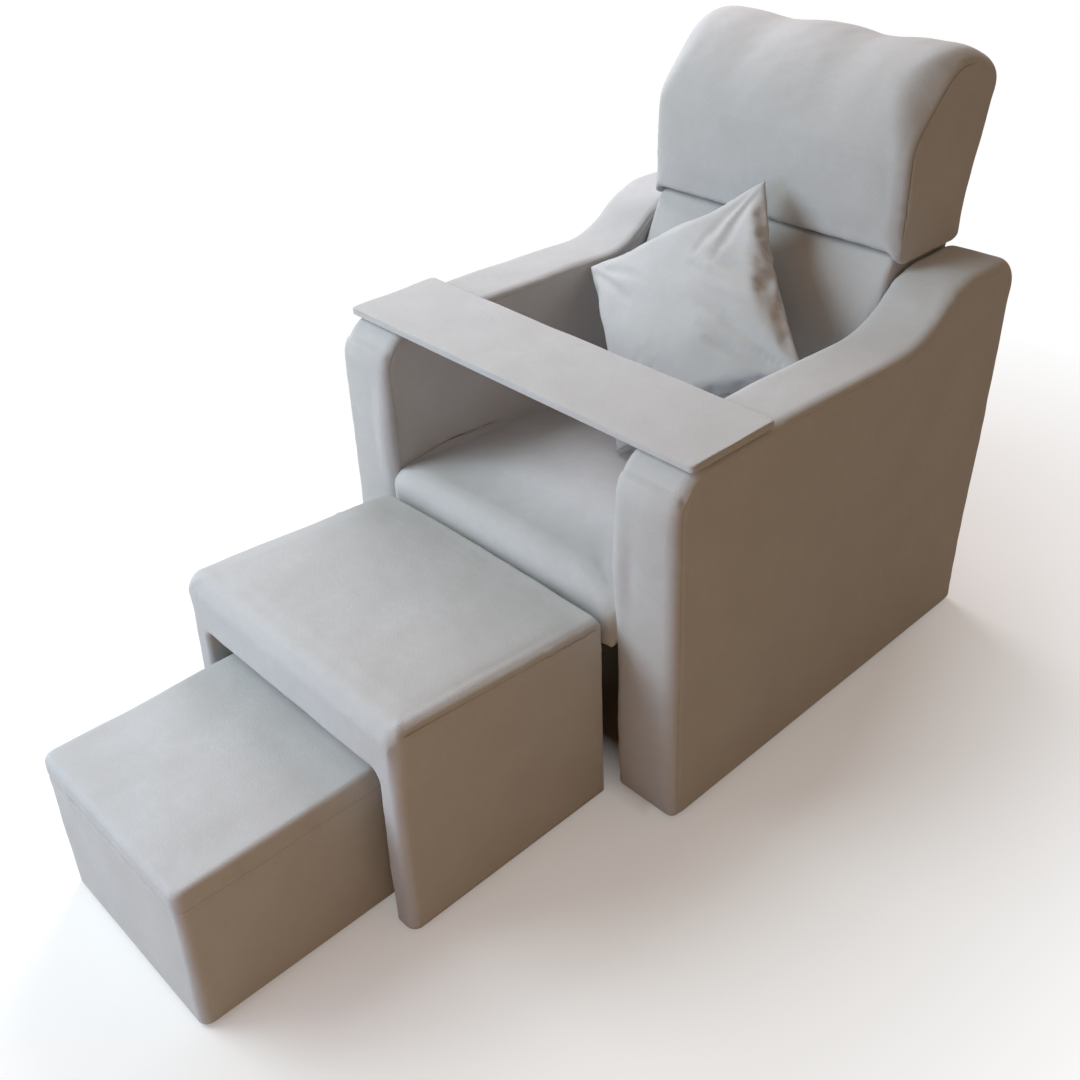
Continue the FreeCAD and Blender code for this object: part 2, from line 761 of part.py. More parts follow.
def build_sector():
    """The toothed sector with the arm that carries the backrest, and its screws."""
    half_arm = sector_arm_width / 2
    top_y = sector_arm_y(sector_arm_top_z)
    arm = side_slab([
        (pivot_y - half_arm, pivot_z, 0),
        (top_y - half_arm, sector_arm_top_z, sector_arm_radius),
        (top_y + half_arm, sector_arm_top_z, sector_arm_radius),
        (pivot_y + half_arm, pivot_z, 0),
    ], side_board_outer_x, sector_outer_x)
    sector = rod_x(side_board_outer_x, sector_outer_x, pivot_y, pivot_z, sector_radius).fuse(arm)
    for index in range(tooth_count):
        sector = sector.cut(tooth_gap(index))
    sector = sector.cut(rod_x(
        side_board_outer_x, sector_outer_x, pivot_y, pivot_z, pin_radius + pin_clearance))
    screws = []
    for z in sector_screw_zs:
        sector = sector.cut(screw_space(side_board_outer_x, sector_outer_x, sector_arm_y(z), z))
        screws.append(screw(sector_outer_x, -1, sector_arm_y(z), z))
    return sector, screws


def build_base_plate():
    """The plate on the seat rail with the pawl's pin and the leaf spring's lug, and its screws."""
    plate_zs = (rail_bottom_z + plate_margin, rail_top_z - plate_margin)
    plate = box((base_plate_x, rail_inner_x),
                (base_plate_front_y, side_rail_end_y - hinge_plate), plate_zs)
    plate = plate.fuse(rod_x(base_plate_x, rail_inner_x, pivot_y, pivot_z, base_head_radius))
    plate = plate.cut(rod_x(
        base_plate_x, rail_inner_x, pivot_y, pivot_z, pin_radius + pin_clearance))
    screws = []
    for y, z in base_screws:
        plate = plate.cut(screw_space(rail_inner_x, base_plate_x, y, z))
        screws.append(screw(base_plate_x, 1, y, z))
    plate = plate.fuse(rod_x(
        side_board_outer_x, rail_inner_x, pawl_pivot_y, pawl_pivot_z, pawl_pin_radius))
    lug = box((side_board_outer_x, rail_inner_x), (leaf_lug_y, leaf_lug_y + leaf_lug),
              (plate_zs[0], leaf_foot_z))
    return plate.fuse(lug), screws


def build_pawl():
    """The pawl, whose tip stands between two teeth of the sector."""
    root = (pivot_y + tooth_root_behind, pivot_z - sector_radius + tooth_depth)
    tip_z = root[1] - pawl_tip_drop
    shoulder_z = pivot_z - sector_radius - pawl_clearance
    tip_y = root[0] + tooth_release * pawl_tip_drop - pawl_play
    flank = tooth_slope()
    pawl = side_slab([
        (pawl_pivot_y, pawl_underside_z, 0),
        (tip_y + tooth_release * (tip_z - pawl_underside_z), pawl_underside_z, pawl_corner_radius),
        (tip_y, tip_z, 0),
        (root[0] - flank * (root[1] - tip_z) + pawl_clearance, tip_z, 0),
        (root[0] - flank * (root[1] - shoulder_z) + pawl_clearance, shoulder_z, 0),
        (pawl_pivot_y, shoulder_z, 0),
    ], side_board_outer_x, sector_outer_x)
    pawl = pawl.fuse(peg_x(
        side_board_outer_x, sector_outer_x, pawl_pivot_y, pawl_pivot_z, pawl_boss_radius))
    return pawl.cut(rod_x(
        side_board_outer_x, sector_outer_x, pawl_pivot_y, pawl_pivot_z,
        pawl_pin_radius + pin_clearance))


def build_leaf():
    """The leaf spring under the pawl."""
    end_y = pivot_y - sector_radius / 2
    end_z = pawl_underside_z - pin_clearance
    return side_slab([
        (leaf_lug_y, leaf_foot_z, 0),
        (leaf_lug_y + leaf_lug, leaf_foot_z, 0),
        (end_y, end_z - leaf_thickness, 0),
        (end_y, end_z, 0),
        (leaf_lug_y + leaf_lug, leaf_foot_z + leaf_thickness, 0),
        (leaf_lug_y, leaf_foot_z + leaf_thickness, 0),
    ], side_board_outer_x, sector_outer_x)


def build_pin():
    """The hinge's headed pin with its washer between sector and plate."""
    head_x = side_board_outer_x - pin_clearance
    pin = rod_x(head_x, rail_inner_x, pivot_y, pivot_z, pin_radius)
    pin = pin.fuse(peg_x(head_x - pin_head_height, head_x, pivot_y, pivot_z, pin_head_radius))
    return pin.fuse(peg_x(
        sector_outer_x + pin_clearance, base_plate_x, pivot_y, pivot_z, pin_head_radius))


def screw(head_x, way, y, z):
    """A countersunk wood screw whose head is flush at head_x and whose shank runs along way."""
    head_end = head_x + way * screw_head_height
    tip = head_end + way * screw_length
    head = peg_x(head_x, head_end, y, z, screw_head_radius)
    return head.fuse(peg_x(head_end, tip, y, z, screw_radius))


def screw_space(far_x, head_x, y, z):
    """The stepped hole for a screw through a plate, from its head's face to the far face."""
    way = 1 if far_x > head_x else -1
    head_end = head_x + way * screw_head_height
    wide = peg_x(head_x, head_end, y, z, screw_head_radius + hole_clearance)
    return wide.fuse(peg_x(head_x, far_x, y, z, screw_radius + hole_clearance))


def build_hinges():
    sector, board_screws = build_sector()
    plate, rail_screws = build_base_plate()
    pawl = build_pawl()
    leaf = build_leaf()
    pin = build_pin()
    return {
        "left_hinge_sector": sector,
        "right_hinge_sector": mirrored(sector),
        "left_hinge_base_plate": plate,
        "right_hinge_base_plate": mirrored(plate),
        "left_hinge_pawl": pawl,
        "right_hinge_pawl": mirrored(pawl),
        "left_pawl_spring": leaf,
        "right_pawl_spring": mirrored(leaf),
        "hinge_pins": Part.makeCompound([pin, mirrored(pin)]),
        "rail_screws": Part.makeCompound(rail_screws + [mirrored(item) for item in rail_screws]),
        "side_board_screws": Part.makeCompound(
            board_screws + [mirrored(item) for item in board_screws]),
    }


def arch_corners(half, top_z, radius):
    """Front outline of an upright block or opening, rounded at its two top corners."""
    return [(-half, -far, 0), (-half, top_z, radius), (half, top_z, radius), (half, -far, 0)]


def block_corners(half, y_from, y_to, radius):
    """Plan outline of a block with four rounded corners."""
    return [(-half, y_to, radius), (-half, y_from, radius),
            (half, y_from, radius), (half, y_to, radius)]


def build_ottoman():
    """Boards on three sides and on top, lined inside, with a wedge pad that rises to the front."""
    whole = side_slab([
        (ottoman_front_y, glide_height, 0),
        (ottoman_front_y, ottoman_front_z, ottoman_front_radius),
        (ottoman_rear_y, ottoman_rear_z, ottoman_rear_radius),
        (ottoman_rear_y, glide_height, 0),
    ], -ottoman_half, ottoman_half)
    fall = (ottoman_rear_z - ottoman_front_z) / (ottoman_rear_y - ottoman_front_y)
    level = ottoman_front_z - fall * ottoman_front_y
    whole = whole.common(front_prism(
        arch_corners(ottoman_half, level, ottoman_edge_radius), Vector(0, 1, fall)))
    whole = whole.common(plan_prism(block_corners(
        ottoman_half, ottoman_front_y, ottoman_rear_y, ottoman_edge_radius)))
    board_outer_x = ottoman_half - ottoman_side_pad
    board_inner_x = board_outer_x - ottoman_board
    arch_x = board_inner_x - ottoman_lining
    board_z = ottoman_arch_z + ottoman_lining
    pad_z = board_z + ottoman_board
    lip_y = ottoman_front_y + ottoman_lining
    cover_y = ottoman_rear_y - ottoman_rear_cover
    rear_board_y = cover_y - ottoman_rear_board
    arch = front_prism(arch_corners(arch_x, ottoman_arch_z, ottoman_arch_radius))
    side_pad = whole.common(box((board_outer_x, ottoman_half), (-far, far), (0, far)))
    inner = whole.common(box((-board_outer_x, board_outer_x), (-far, far), (0, far)))
    lining_room = box((-board_inner_x, board_inner_x), (lip_y, rear_board_y), (glide_height, board_z))
    lip = inner.common(box((-far, far), (ottoman_front_y, lip_y), (0, pad_z)))
    side_board = box((board_inner_x, board_outer_x), (lip_y, cover_y), (glide_height, board_z))
    rear_board = box((-board_inner_x, board_inner_x), (rear_board_y, cover_y), (glide_height, board_z))
    top_board = box((-board_outer_x, board_outer_x), (lip_y, cover_y), (board_z, pad_z))
    glides = []
    for x in (-(board_inner_x + board_outer_x) / 2, (board_inner_x + board_outer_x) / 2):
        for y in (lip_y + ottoman_glide_inset, cover_y - ottoman_glide_inset):
            glides.append(glide(x, y, ottoman_board / 2))
    pad = inner.common(box((-far, far), (-far, cover_y), (pad_z, far)))
    return {
        "ottoman_boards": Part.makeCompound([side_board, mirrored(side_board), rear_board]),
        "ottoman_top_board": top_board,
        "ottoman_top_pad": pad,
        "left_ottoman_side_pad": side_pad,
        "right_ottoman_side_pad": mirrored(side_pad),
        "ottoman_lining": lining_room.fuse(lip).cut(arch),
        "ottoman_rear_cover": inner.common(box((-far, far), (cover_y, far), (0, far))),
        "ottoman_glides": Part.makeCompound(glides),
    }


def build_stool():
    """A box of boards under a foam pad, with a padded fabric wrap round its four sides."""
    stool_rear_y = stool_front_y + stool_depth
    whole = side_slab([
        (stool_front_y, glide_height, 0),
        (stool_front_y, stool_height, stool_top_radius),
        (stool_rear_y, stool_height, stool_top_radius),
        (stool_rear_y, glide_height, 0),
    ], -stool_half, stool_half)
    whole = whole.common(front_prism(arch_corners(stool_half, stool_height, stool_edge_radius)))
    whole = whole.common(plan_prism(block_corners(
        stool_half, stool_front_y, stool_rear_y, stool_edge_radius)))
    xs = (-stool_half + stool_wrap, stool_half - stool_wrap)
    ys = (stool_front_y + stool_wrap, stool_rear_y - stool_wrap)
    inner_xs = (xs[0] + stool_board, xs[1] - stool_board)
    inner_ys = (ys[0] + stool_board, ys[1] - stool_board)
    pad_z = stool_height - stool_pad
    board_z = pad_z - stool_board
    sheet_z = glide_height + stool_bottom_sheet
    box_zs = (sheet_z, board_z)
    walls = [
        box(xs, (ys[0], inner_ys[0]), box_zs),
        box(xs, (inner_ys[1], ys[1]), box_zs),
        box((xs[0], inner_xs[0]), inner_ys, box_zs),
        box((inner_xs[1], xs[1]), inner_ys, box_zs),
    ]
    glides = []
    for x in (xs[0] + stool_glide_inset, xs[1] - stool_glide_inset):
        for y in (ys[0] + stool_glide_inset, ys[1] - stool_glide_inset):
            glides.append(glide(x, y, glide_radius))
    return {
        "stool_box": Part.makeCompound(walls),
        "stool_top_board": box(xs, ys, (board_z, pad_z)),
        "stool_top_pad": whole.common(box((-far, far), (-far, far), (pad_z, far))),
        "stool_wrap": whole.cut(box(xs, ys, (0, pad_z))).cut(box((-far, far), (-far, far), (pad_z, far))),
        "stool_bottom_sheet": box(xs, ys, (glide_height, sheet_z)),
        "stool_glides": Part.makeCompound(glides),
    }


def build_tray():
    """A plywood board in a fabric sleeve, open in a window on its underside."""
    low = arm_front_top_z + rest_gap
    ys = (tray_front_y, tray_front_y + tray_depth)
    sleeve = side_slab([
        (ys[0], low, tray_edge_radius),
        (ys[0], low + tray_thickness, tray_edge_radius),
        (ys[1], low + tray_thickness, tray_edge_radius),
        (ys[1], low, tray_edge_radius),
    ], -half_width, half_width)
    core = box(
        (-half_width + tray_skin, half_width - tray_skin),
        (ys[0] + tray_skin, ys[1] - tray_skin),
        (low + tray_skin, low + tray_thickness - tray_skin))
    window = box(
        (-half_width + tray_window_margin, half_width - tray_window_margin),
        (ys[0] + tray_window_margin, ys[1] - tray_window_margin),
        (low - tray_skin, low + tray_skin))
    return {"tray_board": core, "tray_cover": sleeve.cut(core).cut(window)}


def pillow_ring(scale, height):
    """One square outline of the pillow, drawn in between its corners, as points."""
    half = pillow_size / 2 * scale
    points = []
    for turn in range(4):
        for step in range(pillow_side_steps):
            along = 2 * step / pillow_side_steps - 1
            drawn = pillow_draw_in * scale * (1 - along * along)
            point = Vector(half * along, drawn - half, height)
            points.append(FreeCAD.Rotation(Vector(0, 0, 1), 90 * turn).multVec(point))
    return Part.makePolygon(points + points[:1])


def build_pillow():
    """Two crowned halves that meet in a thin square edge with pointed corners."""
    crown = pillow_thickness / 2
    levels = [(ring, height * crown) for ring, height in zip(pillow_ring_shares, pillow_height_shares)]
    rings = [pillow_ring(scale, -height) for scale, height in levels[::-1]]
    rings += [pillow_ring(scale, height) for scale, height in levels]
    pillow = Part.makeLoft(rings, True, True)
    pillow.rotate(Vector(0, 0, 0), Vector(0, 0, 1), pillow_turn_deg)
    pillow.rotate(Vector(0, 0, 0), Vector(1, 0, 0), 90 - pillow_lean_deg)
    pillow.rotate(Vector(0, 0, 0), Vector(0, 0, 1), -pillow_yaw_deg)
    pillow.translate(Vector(pillow_x, pillow_y, pillow_z))
    return {"throw_pillow": pillow}


def build_all():
    nodes = {}
    for name, shape in build_arm().items():
        if name == "arm_posts":
            nodes[name] = Part.makeCompound([shape, mirrored(shape)])
        else:
            nodes["left_" + name] = shape
            nodes["right_" + name] = mirrored(shape)
    for part in (build_seat, build_rear, build_back, build_hinges, build_ottoman,
                 build_stool, build_tray, build_pillow):
        nodes.update(part())
    return nodes


def origin_shift():
    """The move along Y that puts the origin under the middle of the whole set's length."""
    rearmost = back_top_rear_y()
    return -(stool_front_y + rearmost) / 2


def back_top_rear_y():
    """The furthest point back: on the head pad's rounded top rear corner."""
    corner = head_corners()[-2]
    bend = (math.pi / 2 - math.atan(back_rake) + math.atan(back_roll_fall)) / 2
    reach = back_top_rear_radius / math.tan(bend)
    lean = math.atan(back_rake)
    return corner[0] - reach * math.sin(lean) - back_top_rear_radius * (math.cos(lean) - 1)


def main():
    os.makedirs("parts", exist_ok=True)
    move = Vector(0, origin_shift(), 0)
    for name, shape in build_all().items():
        shape.translate(move)
        shape.exportStep("parts/" + name + ".step")


if __name__ == "__main__":
    main()
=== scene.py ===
"""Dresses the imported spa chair: upholstery, pillow, straps, finishes, lamps, floor and camera.

Outlines are in millimetres. Their first number is measured back from the arms' front faces, and
heights are from the floor. Meshes are in metres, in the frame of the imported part.
"""

import math

import bmesh
import bpy
import numpy as np
from bpy.props import FloatProperty, PointerProperty, StringProperty
from mathutils import Matrix, Vector


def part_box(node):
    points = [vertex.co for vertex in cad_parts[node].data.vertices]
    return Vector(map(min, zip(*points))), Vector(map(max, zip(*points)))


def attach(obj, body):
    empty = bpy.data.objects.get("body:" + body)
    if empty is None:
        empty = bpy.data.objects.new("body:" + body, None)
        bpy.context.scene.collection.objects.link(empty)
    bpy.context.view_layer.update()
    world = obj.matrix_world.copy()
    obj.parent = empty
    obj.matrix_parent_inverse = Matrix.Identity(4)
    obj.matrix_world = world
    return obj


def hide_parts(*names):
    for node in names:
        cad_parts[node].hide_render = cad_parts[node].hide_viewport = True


bl_info = {
    "name": "Spa Chair Upholstery",
    "version": (1, 0, 0),
    "blender": (4, 5, 0),
    "location": "View3D > Sidebar > Spa Chair",
    "description": "Upholsters the spa chair's frame and sets its floor, lamps and camera",
    "category": "Object",
}

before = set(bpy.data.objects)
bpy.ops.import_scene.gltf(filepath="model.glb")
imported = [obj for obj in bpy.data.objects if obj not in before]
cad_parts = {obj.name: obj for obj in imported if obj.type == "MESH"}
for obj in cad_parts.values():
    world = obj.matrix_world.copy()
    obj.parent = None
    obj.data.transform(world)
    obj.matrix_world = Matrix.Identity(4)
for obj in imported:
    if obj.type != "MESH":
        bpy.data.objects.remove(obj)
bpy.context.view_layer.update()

MM = 0.001
ARC_STEPS = 20
NO_SEAM = 1000.0
# Half the width between the arms, which the seat, the lumbar pad and the ottoman fill
HALF_WIDTH = 273.0
FRONT_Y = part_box("left_arm_band")[0].y
# The frame's axes along an outline's first and second number, and the one that it is drawn out along
SIDE_AXES = (1, 2, 0)
PLAN_AXES = (0, 1, 2)
REAR_AXES = (0, 2, 1)


# Guide lines and skins

def rounded_loop(corners, step):
    """Even points round a closed outline of (first, second, radius) corners, and its length."""
    path = []
    for index, (first, second, radius) in enumerate(corners):
        here = np.array((first, second), float)
        before = np.array(corners[index - 1][:2], float) - here
        after = np.array(corners[(index + 1) % len(corners)][:2], float) - here
        before /= np.hypot(*before)
        after /= np.hypot(*after)
        half = math.acos(float(np.clip(before @ after, -1, 1))) / 2
        reach = radius / math.tan(half)
        inward = (before + after) / np.hypot(*(before + after))
        centre = here + inward * radius / math.sin(half)
        sweep = math.pi - 2 * half
        for turn in np.linspace(0, 1, ARC_STEPS + 1):
            start = (here + before * reach - centre) * math.sin((1 - turn) * sweep)
            end = (here + after * reach - centre) * math.sin(turn * sweep)
            path.append(centre + (start + end) / math.sin(sweep))
    path = np.array(path + path[:1])
    lengths = np.append(0, np.cumsum(np.hypot(*np.diff(path, axis=0).T)))
    count = round(lengths[-1] / step)
    at = np.arange(count) / count * lengths[-1]
    points = np.stack([np.interp(at, lengths, path[:, side]) for side in (0, 1)], 1)
    return points, at


def board(low, high, low_radius, high_radius):
    """The corners of a rectangle, with one radius at its lower and one at its upper corners."""
    return ((low[0], low[1], low_radius), (high[0], low[1], low_radius),
            (high[0], high[1], high_radius), (low[0], high[1], high_radius))


def loop_normals(points):
    """Unit vectors that point out of a closed outline."""
    along = np.roll(points, -1, 0) - np.roll(points, 1, 0)
    along /= np.hypot(*along.T)[:, None]
    area = np.sum(points[:, 0] * np.roll(points[:, 1], -1) - points[:, 1] * np.roll(points[:, 0], -1))
    turn = 1 if area > 0 else -1
    return np.stack((along[:, 1], -along[:, 0]), 1) * turn


def surface_normals(points, wrap):
    """Unit normals of a grid of points, whose columns may close on themselves."""
    along = np.roll(points, -1, 1) - np.roll(points, 1, 1) if wrap else np.gradient(points, axis=1)
    normals = np.cross(along, np.gradient(points, axis=0))
    return normals / np.maximum(np.linalg.norm(normals, axis=2, keepdims=True), 1e-12)


def ripple(points, size, seed):
    """Seeded smooth unevenness, about one high, with features of a size in metres."""
    chance = np.random.default_rng(seed)
    total = np.zeros(points.shape[:-1])
    waves = 24
    for _ in range(waves):
        way = chance.normal(size=3)
        way *= 2 * math.pi / (np.linalg.norm(way) * size * chance.uniform(0.7, 1.6))
        total += np.sin(points @ way + chance.uniform(0, 2 * math.pi))
    return total * math.sqrt(2 / waves)


def smooth(value, low, high):
    """Zero below low, one above high, and a soft step between."""
    t = np.clip((value - low) / (high - low), 0, 1)
    return t * t * (3 - 2 * t)


class Skin:
    """A cloth skin as a grid of points, with what each point knows about its place on the piece.

    run is the way along the outline, across goes from -1 to 1 between the side faces, side is -1, 0
    or 1, seam is the distance past the nearest seam, facing points out of the outline, and reach is
    the share of the way from the outline to the middle of a side face.
    """

    def __init__(self, points, run, seam, closed, across=None, side=None, facing=None, reach=None):
        self.points, self.run, self.seam, self.closed = points, run, seam, closed
        self.across, self.side, self.facing, self.reach = across, side, facing, reach
        self.mark = np.ones(points.shape[:2])
        self.normals = surface_normals(points, closed)

    def place(self):
        """Distance behind the arms' fronts and height of every point."""
        return self.points[..., 1] - FRONT_Y, self.points[..., 2]

    def renew_normals(self):
        """Works out the normals again after the points have moved, on the same side as before."""
        before = self.normals.copy()
        made = surface_normals(self.points, self.closed)
        made *= np.where(np.sum(made * before, 2, keepdims=True) < 0, -1.0, 1.0)
        if self.facing is not None:
            made[0], made[-1] = before[0], before[-1]
        self.normals = made

    def turn_out(self, row, column, way):
        """Flips the normals if the one at a row and column points against a direction."""
        if np.dot(self.normals[row, column], way) < 0:
            self.normals = -self.normals

    def lift(self, height):
        """Moves every point along its normal."""
        self.points = self.points + self.normals * height[..., None]


def evened(values, reach):
    """Values round a closed line, averaged over the neighbours on either side."""
    return sum(np.roll(values, shift) for shift in range(-reach, reach + 1)) / (2 * reach + 1)


def by_direction(sizes, outward):
    """A size for every point of an outline, from sizes for (front, top, rear, underside, shoulder)."""
    if isinstance(sizes, (int, float)):
        return np.full(len(outward), float(sizes))
    front, top, rear, under, shoulder = sizes
    ahead, up = np.maximum(-outward[:, 0], 0) ** 2, np.maximum(outward[:, 1], 0) ** 2
    behind, below = np.maximum(outward[:, 0], 0) ** 2, np.maximum(-outward[:, 1], 0) ** 2
    return evened(front * ahead + top * up + rear * behind + under * below + shoulder * 4 * ahead * up, 3)


def slab_skin(corners, centre, span, edges, seams=(None, None), turns=(90, 90), step=6.0, axes=SIDE_AXES,
              band_step=7.0):
    """A closed skin over an outline drawn out along a third axis.

    Its rows run from the middle of the far side face, over that face's rounded edge, the band and
    the other edge, to the middle of the near side face. The pairs edges, seams and turns hold, for
    the low and the high side, how far an edge reaches onto its side face, how far past that the
    seam lies, and through how many degrees the edge turns before it meets the side face. Seams
    fade at the rear and the underside.
    """
    # The part of an edge after which its rows are closer together, for the seam's groove
    close = 0.88
    line, at = rounded_loop(corners, step)
    outward = loop_normals(line)
    centre = np.array(centre, float)
    pull = evened(1 / np.maximum(np.sum(outward * (line - centre), 1), 1.0), 3)
    ones = np.ones(len(line))
    rows = []

    def row(flat, height, seam, side, share):
        return flat, height * ones, seam * ones, side * ones, share * ones

    def shift(inset):
        """The outline drawn in by an inset, but never quite to the middle."""
        share = np.minimum(inset * pull, 0.85)
        return line + (centre - line) * share[:, None], share

    def face(level, reach, seam, side):
        insets = np.append(np.arange(0, 14, 2.0), np.linspace(14, 40, 6))
        if seam is None:
            insets = insets[::3]
        made = []
        for inset in insets:
            flat, share = shift(reach + inset)
            made.append(row(flat, level, NO_SEAM if seam is None else inset - seam, side, share))
        count = max(4, round(float(np.max((1 - share) / pull)) / 14.0))
        for part in np.linspace(0, 1, count + 1)[1:]:
            whole = share + (1 - share) * part
            made.append(row(line + (centre - line) * whole[:, None], level, NO_SEAM, side, whole))
        return made

    def edge(level, reach, turn, seam, way, side):
        turn = math.radians(turn)
        radius = reach / (1 - math.cos(turn))
        fine = close + (1 - close) * np.linspace(0, 1, 5)[1:-1] if seam is not None else []
        made = []
        for part in np.append(np.linspace(0, close, 9)[1:], fine)[::-1]:
            angle = turn * part
            flat, share = shift(radius * (1 - math.cos(angle)))
            made.append(row(flat, level - way * radius * (math.sin(turn) - math.sin(angle)),
                            NO_SEAM if seam is None else -seam - radius * turn * (1 - part), side, share))
        return made, radius * math.sin(turn)

    high_reach, low_reach = (by_direction(edges[place], outward) for place in (1, 0))
    low, high = span
    rows += face(high, high_reach, seams[1], 1)[::-1]
    made, top_gap = edge(high, high_reach, turns[1], seams[1], 1, 1)
    rows += made
    made, low_gap = edge(low, low_reach, turns[0], seams[0], -1, -1)
    for part in np.linspace(0, 1, max(3, round((high - low) / band_step))):
        rows.append(row(line, high - top_gap + (low + low_gap - high + top_gap) * part, NO_SEAM, 0, 0.0))
    rows += made[::-1]
    rows += face(low, low_reach, seams[0], -1)
    flats, heights, seam, side, share = (np.array(part) for part in zip(*rows))
    points = np.zeros((len(rows), len(line), 3))
    points[..., axes[0]], points[..., axes[1]], points[..., axes[2]] = flats[..., 0], flats[..., 1], heights
    points *= MM
    points[..., 1] += FRONT_Y
    facing = np.zeros_like(points)
    facing[..., axes[0]], facing[..., axes[1]] = outward[:, 0], outward[:, 1]
    skin = Skin(points, np.tile(at * MM, (len(rows), 1)), seam * MM, True,
                (heights - (low + high) / 2) / ((high - low) / 2), side, facing, share)
    if axes == SIDE_AXES:
        shown = smooth(-outward[:, 0], -0.55, 0.0) * smooth(outward[:, 1], -0.6, -0.1)
        skin.mark = np.tile(evened(shown, 3), (len(rows), 1))
    skin.turn_out(len(rows) // 2, 0, facing[0, 0])
    tip = np.zeros(3)
    tip[axes[2]] = 1
    skin.normals[0] = tip
    skin.normals[-1] = -tip
    return skin


def seam_relief(skin, look, pucker=1.0):
    """Height of the seams' groove, the fullness beside them and the small gathers across them."""
    gap = np.abs(skin.seam)
    groove = -look.seam_depth * np.exp(-(gap / 0.0026) ** 2)
    puff = 0.4 * look.seam_depth * np.exp(-((gap - 0.010) / 0.007) ** 2)
    places = np.stack((skin.run, skin.seam * 0.35, np.zeros_like(skin.run)), -1)
    gathers = ripple(places, 0.019, 5) * np.clip(ripple(places, 0.11, 6), 0, 1.5)
    near = np.exp(-(gap / 0.014) ** 2)
    return (groove + puff + look.pucker_depth * pucker * gathers * near) * skin.mark


def unevenness(skin, look, seed):
    """The padding's own soft unevenness: long swells and a little short quilting of the cloth."""
    return look.softness * (ripple(skin.points, 0.16, seed) + 0.25 * ripple(skin.points, 0.045, seed + 1))


def grid_mesh(points, closed):
    """A bmesh grid laid onto an array of points, closed where its edges meet."""
    rows, columns = points.shape[:2]
    wide = columns + 1 if closed else columns
    bm = bmesh.new()
    bmesh.ops.create_grid(bm, x_segments=wide - 1, y_segments=rows - 1, size=1.0)
    row_layer = bm.verts.layers.int.new("row")
    column_layer = bm.verts.layers.int.new("column")
    for vert in bm.verts:
        vert[column_layer] = round((vert.co.x + 1) / 2 * (wide - 1)) % columns
        vert[row_layer] = round((vert.co.y + 1) / 2 * (rows - 1))
        vert.co = points[vert[row_layer], vert[column_layer]]
    bmesh.ops.remove_doubles(bm, verts=bm.verts, dist=1e-5)
    rim = [edge for edge in bm.edges if edge.is_boundary]
    if rim:
        bmesh.ops.holes_fill(bm, edges=rim)
    bmesh.ops.recalc_face_normals(bm, faces=bm.faces)
    return bm, row_layer, column_layer


def cloth_piece(name, skin, body, replaced, finish="velvet"):
    """Makes a skin's finished mesh, which knows how near each vertex is to a seam."""
    bm, row_layer, column_layer = grid_mesh(skin.points, skin.closed)
    # Nearness to a seam, which the velvet turns into painted shade along the seams' grooves
    near = np.clip(1 - np.abs(skin.seam) / 0.006, 0, 1) * skin.mark
    seam_layer = bm.verts.layers.float.new("seam")
    for vert in bm.verts:
        vert[seam_layer] = near[vert[row_layer], vert[column_layer]]
    for layer in ("row", "column"):
        bm.verts.layers.int.remove(bm.verts.layers.int[layer])
    return finished(name, bm, body, replaced, finish)


def swell(skin, free, limit, every=3):
    """Blows a skin up as cloth where it is free, by no more than a limit.

    The cloth is run on every third row and column, and the moves are spread over the whole grid.
    """
    count, wide = skin.points.shape[:2]
    rows = np.unique(np.append(np.arange(0, count, every), count - 1))
    columns = np.arange(0, wide, every)
    if not skin.closed:
        columns = np.unique(np.append(columns, wide - 1))
    bm, row_layer, column_layer = grid_mesh(skin.points[np.ix_(rows, columns)], skin.closed)
    hold = 1 - free[np.ix_(rows, columns)]
    cells = [(vert[row_layer], vert[column_layer]) for vert in bm.verts]
    moves = np.zeros((len(rows), len(columns), 3))
    for cell, move in zip(cells, blown_up(bm, 4.0, limit, [float(hold[cell]) for cell in cells])):
        moves[cell] = move
    bm.free()
    if skin.closed:
        # The points of a pole are one
        moves[0], moves[-1] = moves[0].sum(0), moves[-1].sum(0)
    spread = np.zeros((len(rows), wide, 3))
    ends = np.append(columns, wide) if skin.closed else columns
    for row in range(len(rows)):
        for axis in range(3):
            line = moves[row, :, axis]
            line = np.append(line, line[0]) if skin.closed else line
            spread[row, :, axis] = np.interp(np.arange(wide), ends, line)
    for column in range(wide):
        for axis in range(3):
            skin.points[:, column, axis] += np.interp(np.arange(count), rows, spread[:, column, axis])
    skin.renew_normals()


